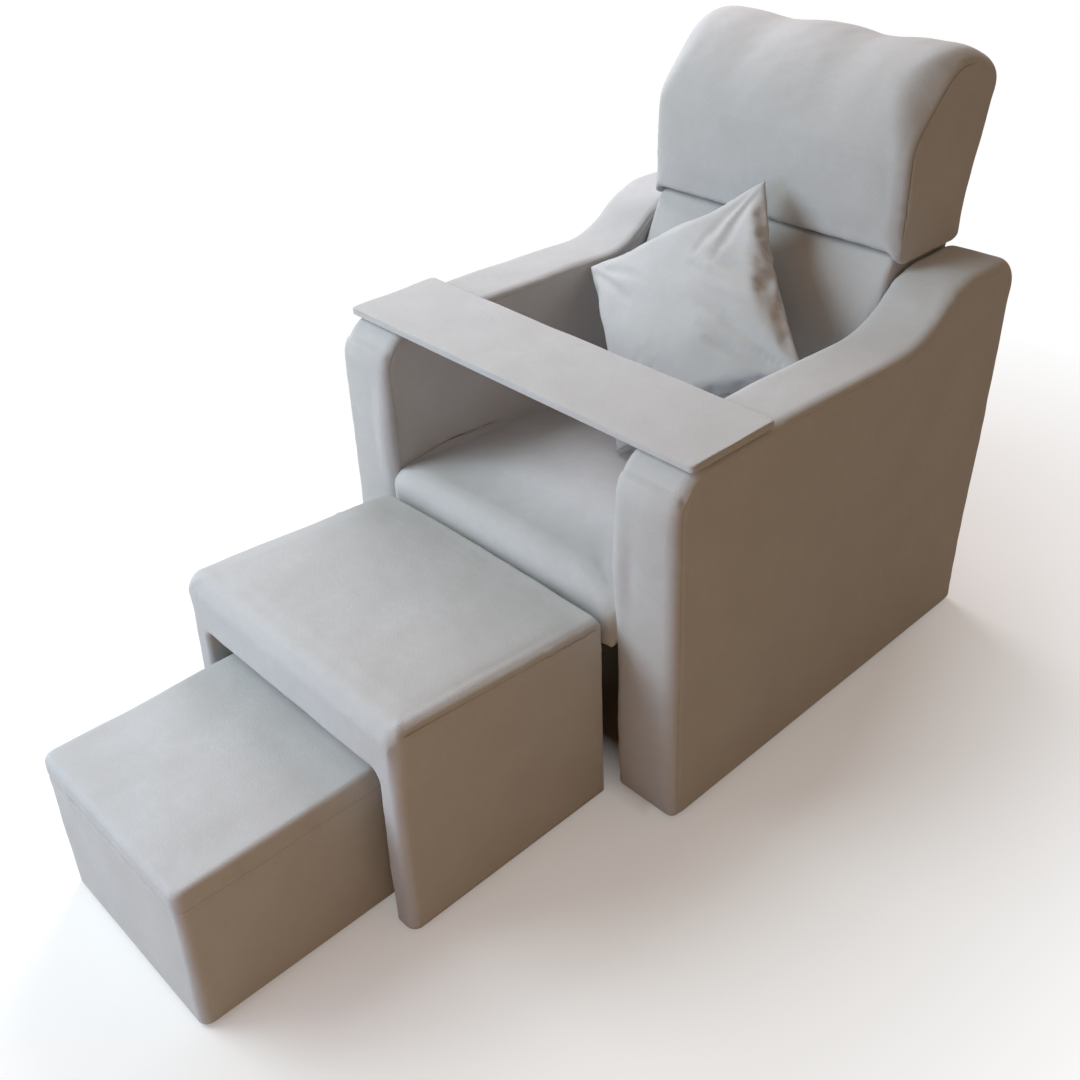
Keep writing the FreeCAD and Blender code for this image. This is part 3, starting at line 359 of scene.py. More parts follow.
def blown_up(bm, pressure, limit, hold, frames=18, stiffness=15.0):
    """Runs a closed mesh as cloth under pressure from inside and returns each vertex's move."""
    scene = bpy.context.scene
    mesh = bpy.data.meshes.new("cloth under pressure")
    bm.to_mesh(mesh)
    cloth = bpy.data.objects.new("cloth under pressure", mesh)
    scene.collection.objects.link(cloth)
    work = cloth.modifiers.new("Cloth", "CLOTH")
    rules = work.settings
    rules.quality = 4
    rules.mass = 0.3
    rules.tension_stiffness = rules.compression_stiffness = stiffness
    rules.shear_stiffness = stiffness / 3
    rules.bending_stiffness = 0.4
    rules.air_damping = 2.0
    rules.use_pressure = True
    rules.uniform_pressure_force = pressure
    rules.effector_weights.gravity = 0.0
    work.collision_settings.use_collision = False
    group = cloth.vertex_groups.new(name="hold")
    for index, weight in enumerate(hold):
        if weight > 0.01:
            group.add([index], weight, "REPLACE")
    rules.vertex_group_mass = "hold"
    work.point_cache.frame_start, work.point_cache.frame_end = 1, frames
    for number in range(1, frames + 1):
        scene.frame_set(number)
    shaped = cloth.evaluated_get(bpy.context.evaluated_depsgraph_get()).data
    moves = [made.co - start.co for made, start in zip(shaped.vertices, mesh.vertices)]
    scene.frame_set(1)
    bpy.data.objects.remove(cloth)
    print("cloth of %d points moved by up to %.1f mm, held to %.1f mm"
          % (len(moves), max(move.length for move in moves) * 1000, limit * 1000))
    return [move * min(1.0, limit / max(move.length, 1e-9)) for move in moves]


def finished(name, bm, body, replaced, finish="velvet"):
    """Turns a bmesh into a smooth, finished object that rides on a body."""
    mesh = bpy.data.meshes.new(name)
    bm.to_mesh(mesh)
    bm.free()
    for polygon in mesh.polygons:
        polygon.use_smooth = True
    obj = bpy.data.objects.new(name, mesh)
    bpy.context.scene.collection.objects.link(obj)
    obj.data.materials.append(bpy.data.materials[FINISHES[finish][0]])
    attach(obj, body)
    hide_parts(*replaced)
    return obj


# Materials

FINISHES = {
    "velvet": ("Short nap polyester velvet", "grey_velvet"),
    "felt": ("Needled grey felt", "grey_felt"),
    "backing": ("Spunbond backing cloth", "black_cloth"),
    "webbing": ("Woven elastic webbing", "black_webbing"),
}


def linear(code):
    """The linear colour of an sRGB hex value."""
    values = [int(code[place:place + 2], 16) / 255 for place in (1, 3, 5)]
    values = [v / 12.92 if v <= 0.04045 else ((v + 0.055) / 1.055) ** 2.4 for v in values]
    return (*values, 1.0)


def add(tree, kind, links=None, **settings):
    """Adds a shader node. Settings name its fields or its inputs, and links lead outputs to inputs."""
    made = tree.nodes.new("ShaderNode" + kind)
    for key, value in settings.items():
        name = key.replace("_", " ")
        if hasattr(made, key):
            setattr(made, key, value)
        else:
            next(s for s in made.inputs if s.name.lower() == name.lower()).default_value = value
    for place, output in (links or {}).items():
        tree.links.new(output, made.inputs[place])
    return made


def new_material(name):
    """The nodes of an empty material, its Principled shader and the object's own coordinates."""
    material = bpy.data.materials.new(name)
    material.use_nodes = True
    tree = material.node_tree
    return tree, tree.nodes["Principled BSDF"], add(tree, "TexCoord").outputs["Object"]


def mixed(tree, share, first, second):
    """A colour between two hex colours or outputs, by a share output."""
    made = add(tree, "Mix", data_type="RGBA")
    tree.links.new(share, made.inputs[0])
    for place, value in ((6, first), (7, second)):
        if isinstance(value, str):
            made.inputs[place].default_value = linear(value)
        else:
            tree.links.new(value, made.inputs[place])
    return made.outputs[2]


def ranged(tree, value, low, high, to_low=0.0, to_high=1.0):
    """A value mapped from one range to another, held at its ends."""
    return add(tree, "MapRange", {"Value": value}, From_Min=low, From_Max=high, To_Min=to_low,
               To_Max=to_high).outputs["Result"]


def noise(tree, place, size, detail, roughness=0.5):
    """Noise with features of a size in metres."""
    return add(tree, "TexNoise", {"Vector": place}, Scale=1 / size, Detail=detail,
               Roughness=roughness).outputs["Fac"]


def bands(tree, place, width, axis, **settings):
    """Bands across an axis, of a width in metres. A wave of scale 1 repeats every 0.314 m."""
    return add(tree, "TexWave", {"Vector": place}, Scale=1 / width / 3.1416, bands_direction="XYZ"[axis],
               **settings).outputs["Fac"]


def scaled(tree, place, sizes, shift=(0.0, 0.0, 0.0)):
    """Coordinates scaled along each axis, then shifted."""
    return add(tree, "Mapping", {"Vector": place}, Location=shift, Scale=sizes).outputs["Vector"]


def surface(tree, shader, tone, roughness, height, strength, distance, under=None):
    """Gives a shader its tone, roughness and bump, over the bump of another normal."""
    links = {"Height": height} if under is None else {"Height": height, "Normal": under}
    bump = add(tree, "Bump", links, Strength=strength, Distance=distance)
    for name, value in (("Base Color", tone), ("Roughness", roughness), ("Normal", bump.outputs["Normal"])):
        if isinstance(value, float):
            shader.inputs[name].default_value = value
        else:
            tree.links.new(value, shader.inputs[name])


def make_velvet(look):
    """Polyester velvet, brushed and heat set: the short nap lies in soft patches that catch the light at a
    slant, edges glow a little, and the seams' grooves are darkened with thin lines of painted shade."""
    tree, shader, place = new_material(FINISHES["velvet"][0])
    # Patches where a hand has turned the nap, 60 to 120 mm wide
    brushed = noise(tree, place, 0.085, 2.0, 0.45)
    # The nap itself is 1 mm long; drawn 3 mm coarse, the finest that shows
    nap = noise(tree, place, 0.0034, 3.0, 0.6)
    # Streaks left by brushing, 14 mm wide
    streaks = noise(tree, place, 0.016, 2.0)
    seam = add(tree, "Attribute", attribute_name="seam").outputs["Fac"]
    tone = mixed(tree, ranged(tree, brushed, 0.32, 0.68), look.shade_colour, look.cloth_colour)
    tone = mixed(tree, ranged(tree, nap, 0.30, 0.75, 0.0, 0.35), tone, look.light_colour)
    tone = mixed(tree, ranged(tree, streaks, 0.35, 0.75, 0.5, 0.0), tone, look.shade_colour)
    # Painted shade: along the seams the velvet darkens to the seam shade colour, standing in for the shade
    # in their grooves
    tone = mixed(tree, ranged(tree, seam, 0.62, 0.95, 0.0, 0.62), tone, look.seam_shade_colour)
    shader.inputs["Specular IOR Level"].default_value = 0.25
    shader.inputs["Sheen Weight"].default_value = look.sheen
    shader.inputs["Sheen Roughness"].default_value = 0.45
    fine = add(tree, "Bump", {"Height": nap}, Strength=0.55, Distance=0.0009)
    surface(tree, shader, tone, 0.88, streaks, 0.35, 0.0006, fine.outputs["Normal"])


def make_felt():
    """Needled felt from mixed waste fibres: flat grey, flecked, with a matted surface."""
    tree, shader, place = new_material(FINISHES["felt"][0])
    matting = noise(tree, place, 0.006, 4.0, 0.7)
    flecks = add(tree, "TexVoronoi", {"Vector": place}, Scale=1 / 0.009).outputs["Distance"]
    tone = mixed(tree, ranged(tree, matting, 0.3, 0.7), "#5E5C59", "#84827D")
    tone = mixed(tree, ranged(tree, flecks, 0.0, 0.3, 0.35, 0.0), tone, "#3C4046")
    surface(tree, shader, tone, 0.95, matting, 0.6, 0.001)


def make_backing():
    """Spunbond polypropylene, point bonded: near black, slightly shiny, with a grid of small dents."""
    tree, shader, place = new_material(FINISHES["backing"][0])
    # Bond points every 1.5 mm, drawn every 3 mm so that they show
    dents = add(tree, "TexVoronoi", {"Vector": place}, Scale=1 / 0.003, Randomness=0.1).outputs["Distance"]
    fibres = noise(tree, place, 0.012, 4.0, 0.65)
    tone = mixed(tree, ranged(tree, fibres, 0.3, 0.7), "#161617", "#2B2B2D")
    surface(tree, shader, tone, 0.62, dents, 0.4, 0.0006)


def make_webbing():
    """Polypropylene and rubber webbing: black, with ribs across it and a lighter thread at each edge."""
    tree, shader, place = new_material(FINISHES["webbing"][0])
    # Weft ribs every 2.5 mm along the strap, and warp ends every 4 mm across it
    ribs = bands(tree, place, 0.0025, 0)
    tone = mixed(tree, bands(tree, place, 0.004, 2), "#17181A", "#34363A")
    surface(tree, shader, tone, 0.7, ribs, 0.7, 0.0008)


def make_plywood(name, across):
    """Birch plywood, rotary cut and sanded: pale faces with long soft figure, edges in 1.4 mm plies."""
    tree, shader, place = new_material(name)
    sizes = [26.0, 26.0, 26.0]
    sizes[(across + 1) % 3] = 3.0
    figure = add(tree, "TexNoise", {"Vector": scaled(tree, place, sizes)}, Scale=1.6, Detail=5.0,
                 Roughness=0.6, Distortion=0.6).outputs["Fac"]
    plies = bands(tree, place, 0.0028, across)
    tone = mixed(tree, ranged(tree, figure, 0.3, 0.7), "#D9BE93", "#C4A271")
    tone = mixed(tree, ranged(tree, plies, 0.35, 0.75, 0.0, 0.45), tone, "#96703F")
    surface(tree, shader, tone, 0.6, figure, 0.25, 0.0005)


def make_pine(name, along):
    """Sawn and planed pine: yellow, with darker late wood every 4 to 6 mm along the board."""
    tree, shader, place = new_material(name)
    sizes = [1.0, 1.0, 1.0]
    sizes[along] = 0.08
    grain = scaled(tree, place, sizes)
    rings = bands(tree, grain, 0.010, (along + 2) % 3, wave_profile="SAW", Distortion=2.5, Detail=2.0,
                  Detail_Scale=1.2)
    pores = noise(tree, grain, 0.003, 3.0)
    tone = mixed(tree, ranged(tree, rings, 0.2, 0.95), "#E2C08A", "#BE8F55")
    tone = mixed(tree, ranged(tree, pores, 0.45, 0.8, 0.0, 0.25), tone, "#9A6B3A")
    surface(tree, shader, tone, 0.58, rings, 0.2, 0.0006)


def make_steel(name, tint, worn, roughness):
    """Steel with a thin coat: metal that is duller in patches, with fine drawing marks."""
    tree, shader, place = new_material(name)
    patches = noise(tree, place, 0.018, 3.0, 0.6)
    shader.inputs["Metallic"].default_value = 1.0
    dullness = ranged(tree, patches, 0.3, 0.7, roughness - 0.08, roughness + 0.10)
    surface(tree, shader, mixed(tree, ranged(tree, patches, 0.35, 0.7), tint, worn), dullness,
           noise(tree, place, 0.0015, 2.0), 0.15, 0.0003)


def make_glide_plastic(name):
    """Moulded polypropylene: black, with a fine spark texture and scuffs from the floor."""
    tree, shader, place = new_material(name)
    scuffs = noise(tree, place, 0.007, 3.0)
    surface(tree, shader, mixed(tree, ranged(tree, scuffs, 0.5, 0.75), "#121213", "#303133"),
           ranged(tree, scuffs, 0.3, 0.8, 0.38, 0.6), noise(tree, place, 0.0012, 2.0), 0.2, 0.0002)


def both(*names):
    """The names of the left and the right part of each kind."""
    return tuple(side + name for name in names for side in ("left_", "right_"))


HARD_FINISHES = {
    "Birch plywood on edge along X": both("arm_outer_panel", "arm_inner_panel", "back_side_board")
    + ("ottoman_boards", "stool_box"),
    "Birch plywood lying flat": ("ottoman_top_board", "stool_top_board", "tray_board"),
    "Planed pine along X": ("seat_front_rail", "seat_rear_rail", "rear_stretchers", "back_rails",
                            "seat_corner_blocks"),
    "Planed pine along Y": both("seat_side_rail"),
    "Planed pine upright": ("arm_posts",),
    "Zinc plated steel": both("hinge_sector", "hinge_base_plate", "hinge_pawl")
    + ("frame_bolts", "spring_clips", "hinge_pins", "rail_screws", "side_board_screws"),
    "Oiled spring steel": both("pawl_spring") + ("seat_springs",),
    "Moulded polypropylene": ("chair_glides", "ottoman_glides", "stool_glides"),
}


# Settings and operators

class SpaChairLook(bpy.types.PropertyGroup):
    """Sizes and colours of the upholstery."""
    cloth_colour: StringProperty(
        name="Cloth", description="Colour of the velvet where the nap lies towards the light",
        default="#BBBDBF")
    shade_colour: StringProperty(
        name="Turned nap", description="Colour of the velvet where the nap is turned away",
        default="#B5B6B7")
    light_colour: StringProperty(
        name="Nap tips", description="Colour of the tips of the nap", default="#C4C6C8")
    # Painted shade: the dark tone painted along the seams for the shade in their grooves
    seam_shade_colour: StringProperty(
        name="Seam", description="Colour in the seams' grooves", default="#5F5B55")
    sheen: FloatProperty(
        name="Sheen", description="How much the nap glows at a slant", default=0.22, min=0.0, max=1.0,
        subtype="FACTOR")
    seam_depth: FloatProperty(
        name="Seam depth", description="Depth of the groove at a seam", default=0.0024, unit="LENGTH")
    pucker_depth: FloatProperty(
        name="Gathers", description="Height of the gathers beside a seam", default=0.0005, unit="LENGTH")
    softness: FloatProperty(
        name="Softness", description="Height of the padding's unevenness", default=0.0007, unit="LENGTH")


class SpaChairStage(bpy.types.PropertyGroup):
    """Strengths of the lamps."""
    key_power: FloatProperty(
        name="Window lamp", description="Power of the large lamp in front, on the right arm's side",
        default=84.0, unit="POWER")
    low_power: FloatProperty(
        name="Low lamp", description="Power of the cool lamp in front of the stool", default=18.0,
        unit="POWER")
    side_power: FloatProperty(
        name="Side lamp", description="Power of the small warm lamp on the left arm's side", default=2.5,
        unit="POWER")
    rear_power: FloatProperty(
        name="Rear lamp", description="Power of the lamp above the right arm's rear", default=42.0,
        unit="POWER")
    ambient: FloatProperty(
        name="Room light", description="Strength of the light from all sides", default=0.29, min=0.0)


class SpaChairOperator(bpy.types.Operator):
    """Shared ground of the operators that make pieces."""
    bl_options = {"REGISTER", "UNDO"}

    @property
    def look(self):
        return bpy.context.scene.spa_chair_look


class SPACHAIR_OT_materials(SpaChairOperator):
    """Make the cloth materials and finish every part of the frame that keeps its shape"""
    bl_idname = "spachair.materials"
    bl_label = "Materials"

    def execute(self, context):
        make_velvet(self.look)
        make_felt()
        make_backing()
        make_webbing()
        make_plywood("Birch plywood on edge along X", 0)
        make_plywood("Birch plywood lying flat", 2)
        make_pine("Planed pine along X", 0)
        make_pine("Planed pine along Y", 1)
        make_pine("Planed pine upright", 2)
        make_steel("Zinc plated steel", "#C3C4C2", "#A2A39D", 0.36)
        make_steel("Oiled spring steel", "#6C6C6E", "#4A4A4D", 0.30)
        make_glide_plastic("Moulded polypropylene")
        for paint, nodes in HARD_FINISHES.items():
            for name in nodes:
                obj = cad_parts[name]
                if not obj.material_slots:
                    obj.data.materials.append(None)
                for slot in obj.material_slots:
                    slot.material = bpy.data.materials[paint]
        return {"FINISHED"}


class SPACHAIR_OT_arms(SpaChairOperator):
    """Cover both arms: a band round the front, top and rear that laps onto the two side faces"""
    bl_idname = "spachair.arms"
    bl_label = "Arms"

    # Side outline: foot, front, flat rest, dip, hump, raked rear
    corners = ((0, 6, 4), (0, 651, 72), (240, 651, 400), (615, 637.5, 175), (716, 718, 175),
               (912, 718, 52), (835, 6, 4))
    centre = (430, 330)
    # How far the band wraps onto the faces at the front, top, rear and foot
    inner_edge, outer_edge = (11, 11, 12, 3, 0), (12, 11, 12, 3, 0)

    def execute(self, context):
        for side, name in ((1, "left"), (-1, "right")):
            span = (275, 400) if side > 0 else (-400, -275)
            edges = (self.inner_edge, self.outer_edge)[::side]
            skin = slab_skin(self.corners, self.centre, span, edges, (0, 0), (60, 57)[::side])
            # These seams are drawn tight and show as a groove only
            skin.mark *= 0.62
            skin.lift(self.relief(skin, side))
            cloth_piece(name + "_arm_upholstery", skin, "chair_base",
                        (name + "_arm_band", name + "_arm_outer_cover", name + "_arm_inner_cover"))
        return {"FINISHED"}

    def relief(self, skin, side):
        """Fullness of the front and top, flat under the tray and where the seat and the back touch."""
        look = self.look
        y, z = skin.place()
        foot = smooth(z, 0.008, 0.06)
        under_tray = smooth(y, 0.010, 0.030) * (1 - smooth(y, 0.213, 0.240)) * smooth(z, 0.60, 0.645)
        full = np.clip(1 - skin.across ** 2, 0, 1)
        ahead = np.maximum(-skin.facing[..., 1], 0)
        band = full ** 0.6 * (0.0015 + 0.0065 * ahead) * (skin.reach < 0.3)
        height = band * (1 - under_tray) * foot
        height += (seam_relief(skin, look) + unevenness(skin, look, 11)) * foot
        height = np.where(under_tray > 0.01, np.minimum(height, 0.0002), height)
        height += 0.003 * smooth(skin.reach, 0.10, 0.45) * (skin.side == side) * foot
        # The inner edge of the front is fullest where the seat presses against it
        belly = 0.008 * np.exp(-((z - 0.46) / 0.085) ** 2) * ahead * (1 - smooth(y, 0.006, 0.020))
        height += belly * smooth(-skin.across * side, 0.3, 0.8)
        rolled = skin.reach < 0.026
        return np.where((skin.side == -side) & ~rolled, np.minimum(height, 0.0) - 0.0003, height)


class SPACHAIR_OT_seat(SpaChairOperator):
    """Make the crowned seat cushion with its rolled nose and apron"""
    bl_idname = "spachair.seat"
    bl_label = "Seat"

    corners = ((-22, 301, 7), (-22, 424, 50), (540, 387, 12), (540, 360, 3), (2, 360, 3), (2, 301, 4))
    centre = (250, 386)

    def execute(self, context):
        look = self.look
        skin = slab_skin(self.corners, self.centre, (-HALF_WIDTH, HALF_WIDTH), (5, 5), step=6.5)
        across = np.abs(skin.points[..., 0]) / (HALF_WIDTH * MM)
        y, z = skin.place()
        up = np.maximum(skin.facing[..., 2], 0)
        ahead = np.maximum(-skin.facing[..., 1], 0)
        fade = np.clip(1 - skin.reach / 0.5, 0, 1)
        # Full in the middle and falling to the arms, more steeply in the last 50 mm
        fall = 0.014 * across ** 2.0 + 0.010 * smooth(across, 0.80, 1.0) ** 2 + 0.005
        skin.points[..., 2] -= fall * up * fade
        bow = 0.010 * across ** 2.2 + 0.016 * smooth(across, 0.85, 1.0) ** 2 + 0.003
        skin.points[..., 1] += bow * ahead * fade * (0.70 + 0.30 * smooth(z, 0.36, 0.40))
        # The sides press against the arms, and the nose spreads where their rounded fronts leave it room
        spread = 0.009 + 0.024 * smooth(0.014 - y, 0.0, 0.012)
        skin.points[..., 0] *= 1 + spread * smooth(across, 0.6, 1.0)
        skin.renew_normals()
        swell(skin, smooth(up + ahead, 0.05, 0.4) * (skin.side == 0) * smooth(1 - across, 0.02, 0.12)
              * (1 - smooth(y, 0.48, 0.53)) * smooth(z, 0.31, 0.34), 0.005)
        free = smooth(up + ahead, 0.05, 0.4)
        height = unevenness(skin, look, 21) * free
        # Soft folds that fan out from the two front corners
        side_gap = HALF_WIDTH * MM - np.abs(skin.points[..., 0])
        reach = np.hypot(side_gap, y + 0.01)
        fan = np.stack((np.arctan2(y + 0.03, side_gap + 0.03) * 0.10, np.sign(skin.points[..., 0]) * 0.5,
                        reach * 0.15), -1)
        height += 0.0009 * ripple(fan, 0.030, 23) * np.exp(-(reach / 0.11) ** 2) * free
        skin.lift(np.where(skin.side == 0, height, np.minimum(height, 0.0)))
        cloth_piece("seat_upholstery", skin, "chair_base", ("seat_cushion",))
        return {"FINISHED"}


class SPACHAIR_OT_back(SpaChairOperator):
    """Make the lumbar pad, the head pad over it and the panel on the rear of the back"""
    bl_idname = "spachair.back"
    bl_label = "Back"

    lumbar = ((531, 388, 12), (688, 732, 24), (717, 742.3, 4), (890.5, 742.3, 4), (787, 388, 4))
    head = ((717, 743.7, 4), (688, 749, 8), (699, 1156, 165), (977, 1031, 45), (891.5, 743.7, 4))
    # The rear panel leans back by this much for each millimetre of height
    lean = 0.2956

    def execute(self, context):
        look = self.look
        self.lumbar_pad(look)
        self.head_pad(look)
        rear = slab_skin(board((-259, 336), (259, 972), 6, 14), (0, 654), (772, 778), (2.5, 3), step=9.0,
                         axes=REAR_AXES, band_step=3.0)
        rear.points[..., 1] += (rear.points[..., 2] - 0.336) * self.lean
        cloth_piece("back_rear_panel", rear, "backrest", ("back_rear_cover",))
        return {"FINISHED"}

    def lumbar_pad(self, look):
        skin = slab_skin(self.lumbar, (700, 600), (-HALF_WIDTH, HALF_WIDTH), (12, 12), step=6.0)
        across = np.abs(skin.points[..., 0]) / (HALF_WIDTH * MM)
        ahead = np.maximum(-skin.facing[..., 1], 0)
        skin.points[..., 1] += (0.010 * across ** 2.2 + 0.002) * ahead * np.clip(1 - skin.reach / 0.6, 0, 1)
        skin.renew_normals()
        front = smooth(ahead, 0.2, 0.7)
        z = skin.points[..., 2]
        swell(skin, front * (skin.side == 0) * smooth(1 - across, 0.02, 0.12) * smooth(z, 0.42, 0.47)
              * (1 - smooth(z, 0.70, 0.725)), 0.005)
        relief = unevenness(skin, look, 31) * front
        # The pad is drawn in along the crease above it
        relief -= 0.003 * np.exp(-((z - 0.735) / 0.018) ** 2) * front
        skin.lift(np.where(skin.side == 0, relief, np.minimum(relief, 0.0)))
        cloth_piece("lumbar_upholstery", skin, "backrest", ("lumbar_pad",))

    def head_pad(self, look):
        # The front and top roll onto the ends and stop there at a crisp seam
        wrap = (19, 19, 12, 3, 22)
        skin = slab_skin(self.head, (835, 890), (-285, 285), (wrap, wrap), (0, 0), (62, 62), step=6.0)
        x = skin.points[..., 0]
        y, z = skin.place()
        across = np.abs(x) / 0.285
        ahead = np.maximum(-skin.facing[..., 1], 0)
        # The ends sag a little over the arms
        skin.points[..., 2] -= 0.020 * smooth(across, 0.93, 1.0) * (1 - smooth(z, 0.745, 0.82))
        skin.points[..., 1] += 0.002 * across ** 2.2 * ahead * np.clip(1 - skin.reach / 0.6, 0, 1)
        # Two low waves in the top outline, which falls away at both ends
        top = smooth(z, 0.88, 1.05)
        dip = np.exp(-((x + 0.11) / 0.055) ** 2) + np.exp(-((x - 0.095) / 0.055) ** 2)
        skin.points[..., 2] -= top * (0.0075 * dip + 0.008 * smooth(across, 0.75, 1.0) ** 2)
        skin.renew_normals()
        swell(skin, smooth(-skin.facing[..., 1] + skin.facing[..., 2], 0.2, 0.7) * smooth(z, 0.77, 0.81)
              * (skin.side == 0) * smooth(1 - across, 0.03, 0.10), 0.003)
        relief = seam_relief(skin, look) * smooth(z, 0.752, 0.775) + unevenness(skin, look, 41)
        # Slack cloth gathers a little over the crease
        low = np.exp(-((z - 0.765) / 0.03) ** 2) * smooth(ahead, 0.3, 0.8)
        relief += 0.0006 * ripple(np.stack((x, z * 0.3, y * 0), -1), 0.05, 43) * low
        skin.lift(relief)
        cloth_piece("head_upholstery", skin, "backrest", ("head_pad",))


class SPACHAIR_OT_skirt(SpaChairOperator):
    """Make the padded panel across the rear of the base"""
    bl_idname = "spachair.skirt"
    bl_label = "Rear skirt"

    corners = ((816.2, 16, 2.5), (845.6, 288, 2.5), (853.6, 288, 2.5), (824.2, 16, 2.5))

    def execute(self, context):
        skin = slab_skin(self.corners, (834.9, 152), (-274.8, 274.8), (2, 2), step=7.0, band_step=9.0)
        outside = smooth(skin.facing[..., 1], 0.5, 0.9) * (skin.side == 0)
        skin.lift(unevenness(skin, self.look, 61) * outside)
        cloth_piece("rear_skirt_panel", skin, "chair_base", ("rear_skirt",))
        return {"FINISHED"}


def quarter(count):
    """Sines and cosines of even steps through a quarter turn, after its start."""
    return [(math.sin(angle), math.cos(angle)) for angle in np.linspace(0, math.pi / 2, count)[1:]]


def ottoman_skin():
    """The ottoman's cover: over the top and down both sides, rolled round the front into the arch."""
    half, arch, foot, arch_top, arch_bend = HALF_WIDTH, 229.0, 6.0, 296.0, 20.0
    # The top turns down by this much, in a partial turn that stops at the side seam
    edge, part_turn = 14.0, math.radians(74)
    bend = edge / (1 - math.cos(part_turn))
    y_front, y_rear, z_front, z_rear = -433.0, -27.0, 392.0, 362.0
    turn = arch_top - arch_bend
    # Stations round the arch, as pairs of an inner and an outer point
    leg = [((-arch, z), (-half, z)) for z in np.linspace(foot, turn, 44)]
    outer = [(-half, turn), (-half, z_front - edge)]
    for angle in np.linspace(part_turn, 0, 8)[1:]:
        outer.append((bend * (math.sin(part_turn) - math.sin(angle)) - half,
                      z_front - bend * (1 - math.cos(angle))))
    outer.append((arch_bend - arch, z_front))
    outer = np.array(outer)
    lengths = np.append(0, np.cumsum(np.hypot(*np.diff(outer, axis=0).T)))
    corner = []
    for share in np.linspace(0, 1, 45)[1:-1]:
        out = [np.interp(share * lengths[-1], lengths, outer[:, side]) for side in (0, 1)]
        angle = math.pi - share * math.pi / 2
        inner = (arch_bend - arch + arch_bend * math.cos(angle), turn + arch_bend * math.sin(angle))
        corner.append((inner, tuple(out)))
    top = [((x, arch_top), (x, z_front)) for x in np.linspace(arch_bend - arch, 0, 36)]
    half_way = leg + corner + top
    stations = half_way + [((-i[0], i[1]), (-o[0], o[1])) for i, o in half_way[-2::-1]]
    inner = np.array([s[0] for s in stations])
    outer = np.array([s[1] for s in stations])
    thick = np.hypot(*(outer - inner).T)
    lift = smooth(outer[:, 1], turn, z_front - edge)
    # Cross-section: inner face, rolled front, outer face, rear
    front_roll, inner_roll, rear_roll = 17 + 15 * lift, 9.0, 5 + 4 * lift
    y_over = y_front + front_roll
    rows = [(y_rear + (y_front + inner_roll - y_rear) * part, 0.0) for part in np.linspace(0, 1, 26)]
    rows += [(y_front + inner_roll * (1 - s), inner_roll * (1 - c)) for s, c in quarter(6)]
    rows += [(y_front, inner_roll + (thick - inner_roll - front_roll) * part)
             for part in np.linspace(0, 1, 9)[1:]]
    rows += [(y_front + front_roll * (1 - c), thick - front_roll * (1 - s)) for s, c in quarter(10)]
    rows += [(y_over + (y_rear - rear_roll - y_over) * part, thick) for part in np.linspace(0, 1, 60)[1:]]
    rows += [(y_rear - rear_roll * (1 - s), thick - rear_roll * (1 - c)) for s, c in quarter(7)]
    rows += [(y_rear, (thick - rear_roll) * (1 - part)) for part in np.linspace(0, 1, 7)[1:]]
    rows_y, rows_w = (np.array([row[place] + 0 * thick for row in rows]) for place in (0, 1))
    # The top falls towards the seat
    level = z_front + (z_rear - z_front) / (y_rear - y_front) * (rows_y - y_front)
    raised = np.maximum(outer[:, 1] - turn, 0)
    outer_z = np.where(raised > 0, turn + raised * (level - turn) / (z_front - turn), outer[:, 1])
    share = rows_w / thick
    points = np.stack((inner[:, 0] + (outer[:, 0] - inner[:, 0]) * share, rows_y,
                       inner[:, 1] + (outer_z - inner[:, 1]) * share), -1) * MM
    points[..., 1] += FRONT_Y
    # The side seam lies where the top has turned down onto the sides
    on_side = np.abs(points[..., 0]) > (half - 6) * MM
    seam = np.where(on_side, (level - edge) * MM - points[..., 2], 1.0)
    skin = Skin(points, points[..., 1], seam, False)
    skin.turn_out(60, len(stations) // 2, (0, 0, 1))
    return skin


class SPACHAIR_OT_ottoman(SpaChairOperator):
    """Cover the ottoman, line its arch and close its rear"""
    bl_idname = "spachair.ottoman"
    bl_label = "Ottoman"

    def execute(self, context):
        look = self.look
        skin = ottoman_skin()
        x, y, z = skin.points[..., 0], skin.points[..., 1] - FRONT_Y, skin.points[..., 2]
        top = smooth(skin.normals[..., 2], 0.6, 0.95) * smooth(z, 0.33, 0.36)
        foot = smooth(z, 0.008, 0.05)
        inside = (np.abs(x) < 0.2295) & (z < 0.297)
        swell(skin, top * smooth(1 - np.abs(x) / (HALF_WIDTH * MM), 0.03, 0.12) * smooth(-y, 0.04, 0.08)
              * smooth(y, -0.42, -0.39), 0.003)
        bulge = 0.004 * top * np.cos(np.clip(x / (HALF_WIDTH * MM), -1, 1) * math.pi / 2) ** 0.7
        height = bulge + unevenness(skin, look, 71) * foot
        skin.mark = smooth(-y, 0.028, 0.040) * smooth(y, -0.428, -0.405) * foot
        height += seam_relief(skin, look, 1.2)
        # Small tucks below the ends of the seam, at the two front corners
        reach = np.hypot(np.abs(x) - 0.262, np.hypot(y + 0.425, z - 0.375))
        tucks = np.stack((np.abs(x) + y, np.sign(x) * 0.4, z * 0.25), -1)
        height += 0.0007 * ripple(tucks, 0.012, 73) * np.exp(-(reach / 0.030) ** 2)
        height = np.where(inside, np.minimum(height, 0.0002), height)
        skin.lift(height * (y < -0.03))
        pads = ("ottoman_top_pad", "left_ottoman_side_pad", "right_ottoman_side_pad", "ottoman_lining")
        cloth_piece("ottoman_upholstery", skin, "ottoman", pads)
        rear = slab_skin(board((-258.5, 7), (258.5, 340), 4, 4), (0, 180), (-33, -27.5), (2, 2), step=9.0,
                         axes=REAR_AXES, band_step=3.0)
        cloth_piece("ottoman_rear_panel", rear, "ottoman", ("ottoman_rear_cover",))
        return {"FINISHED"}


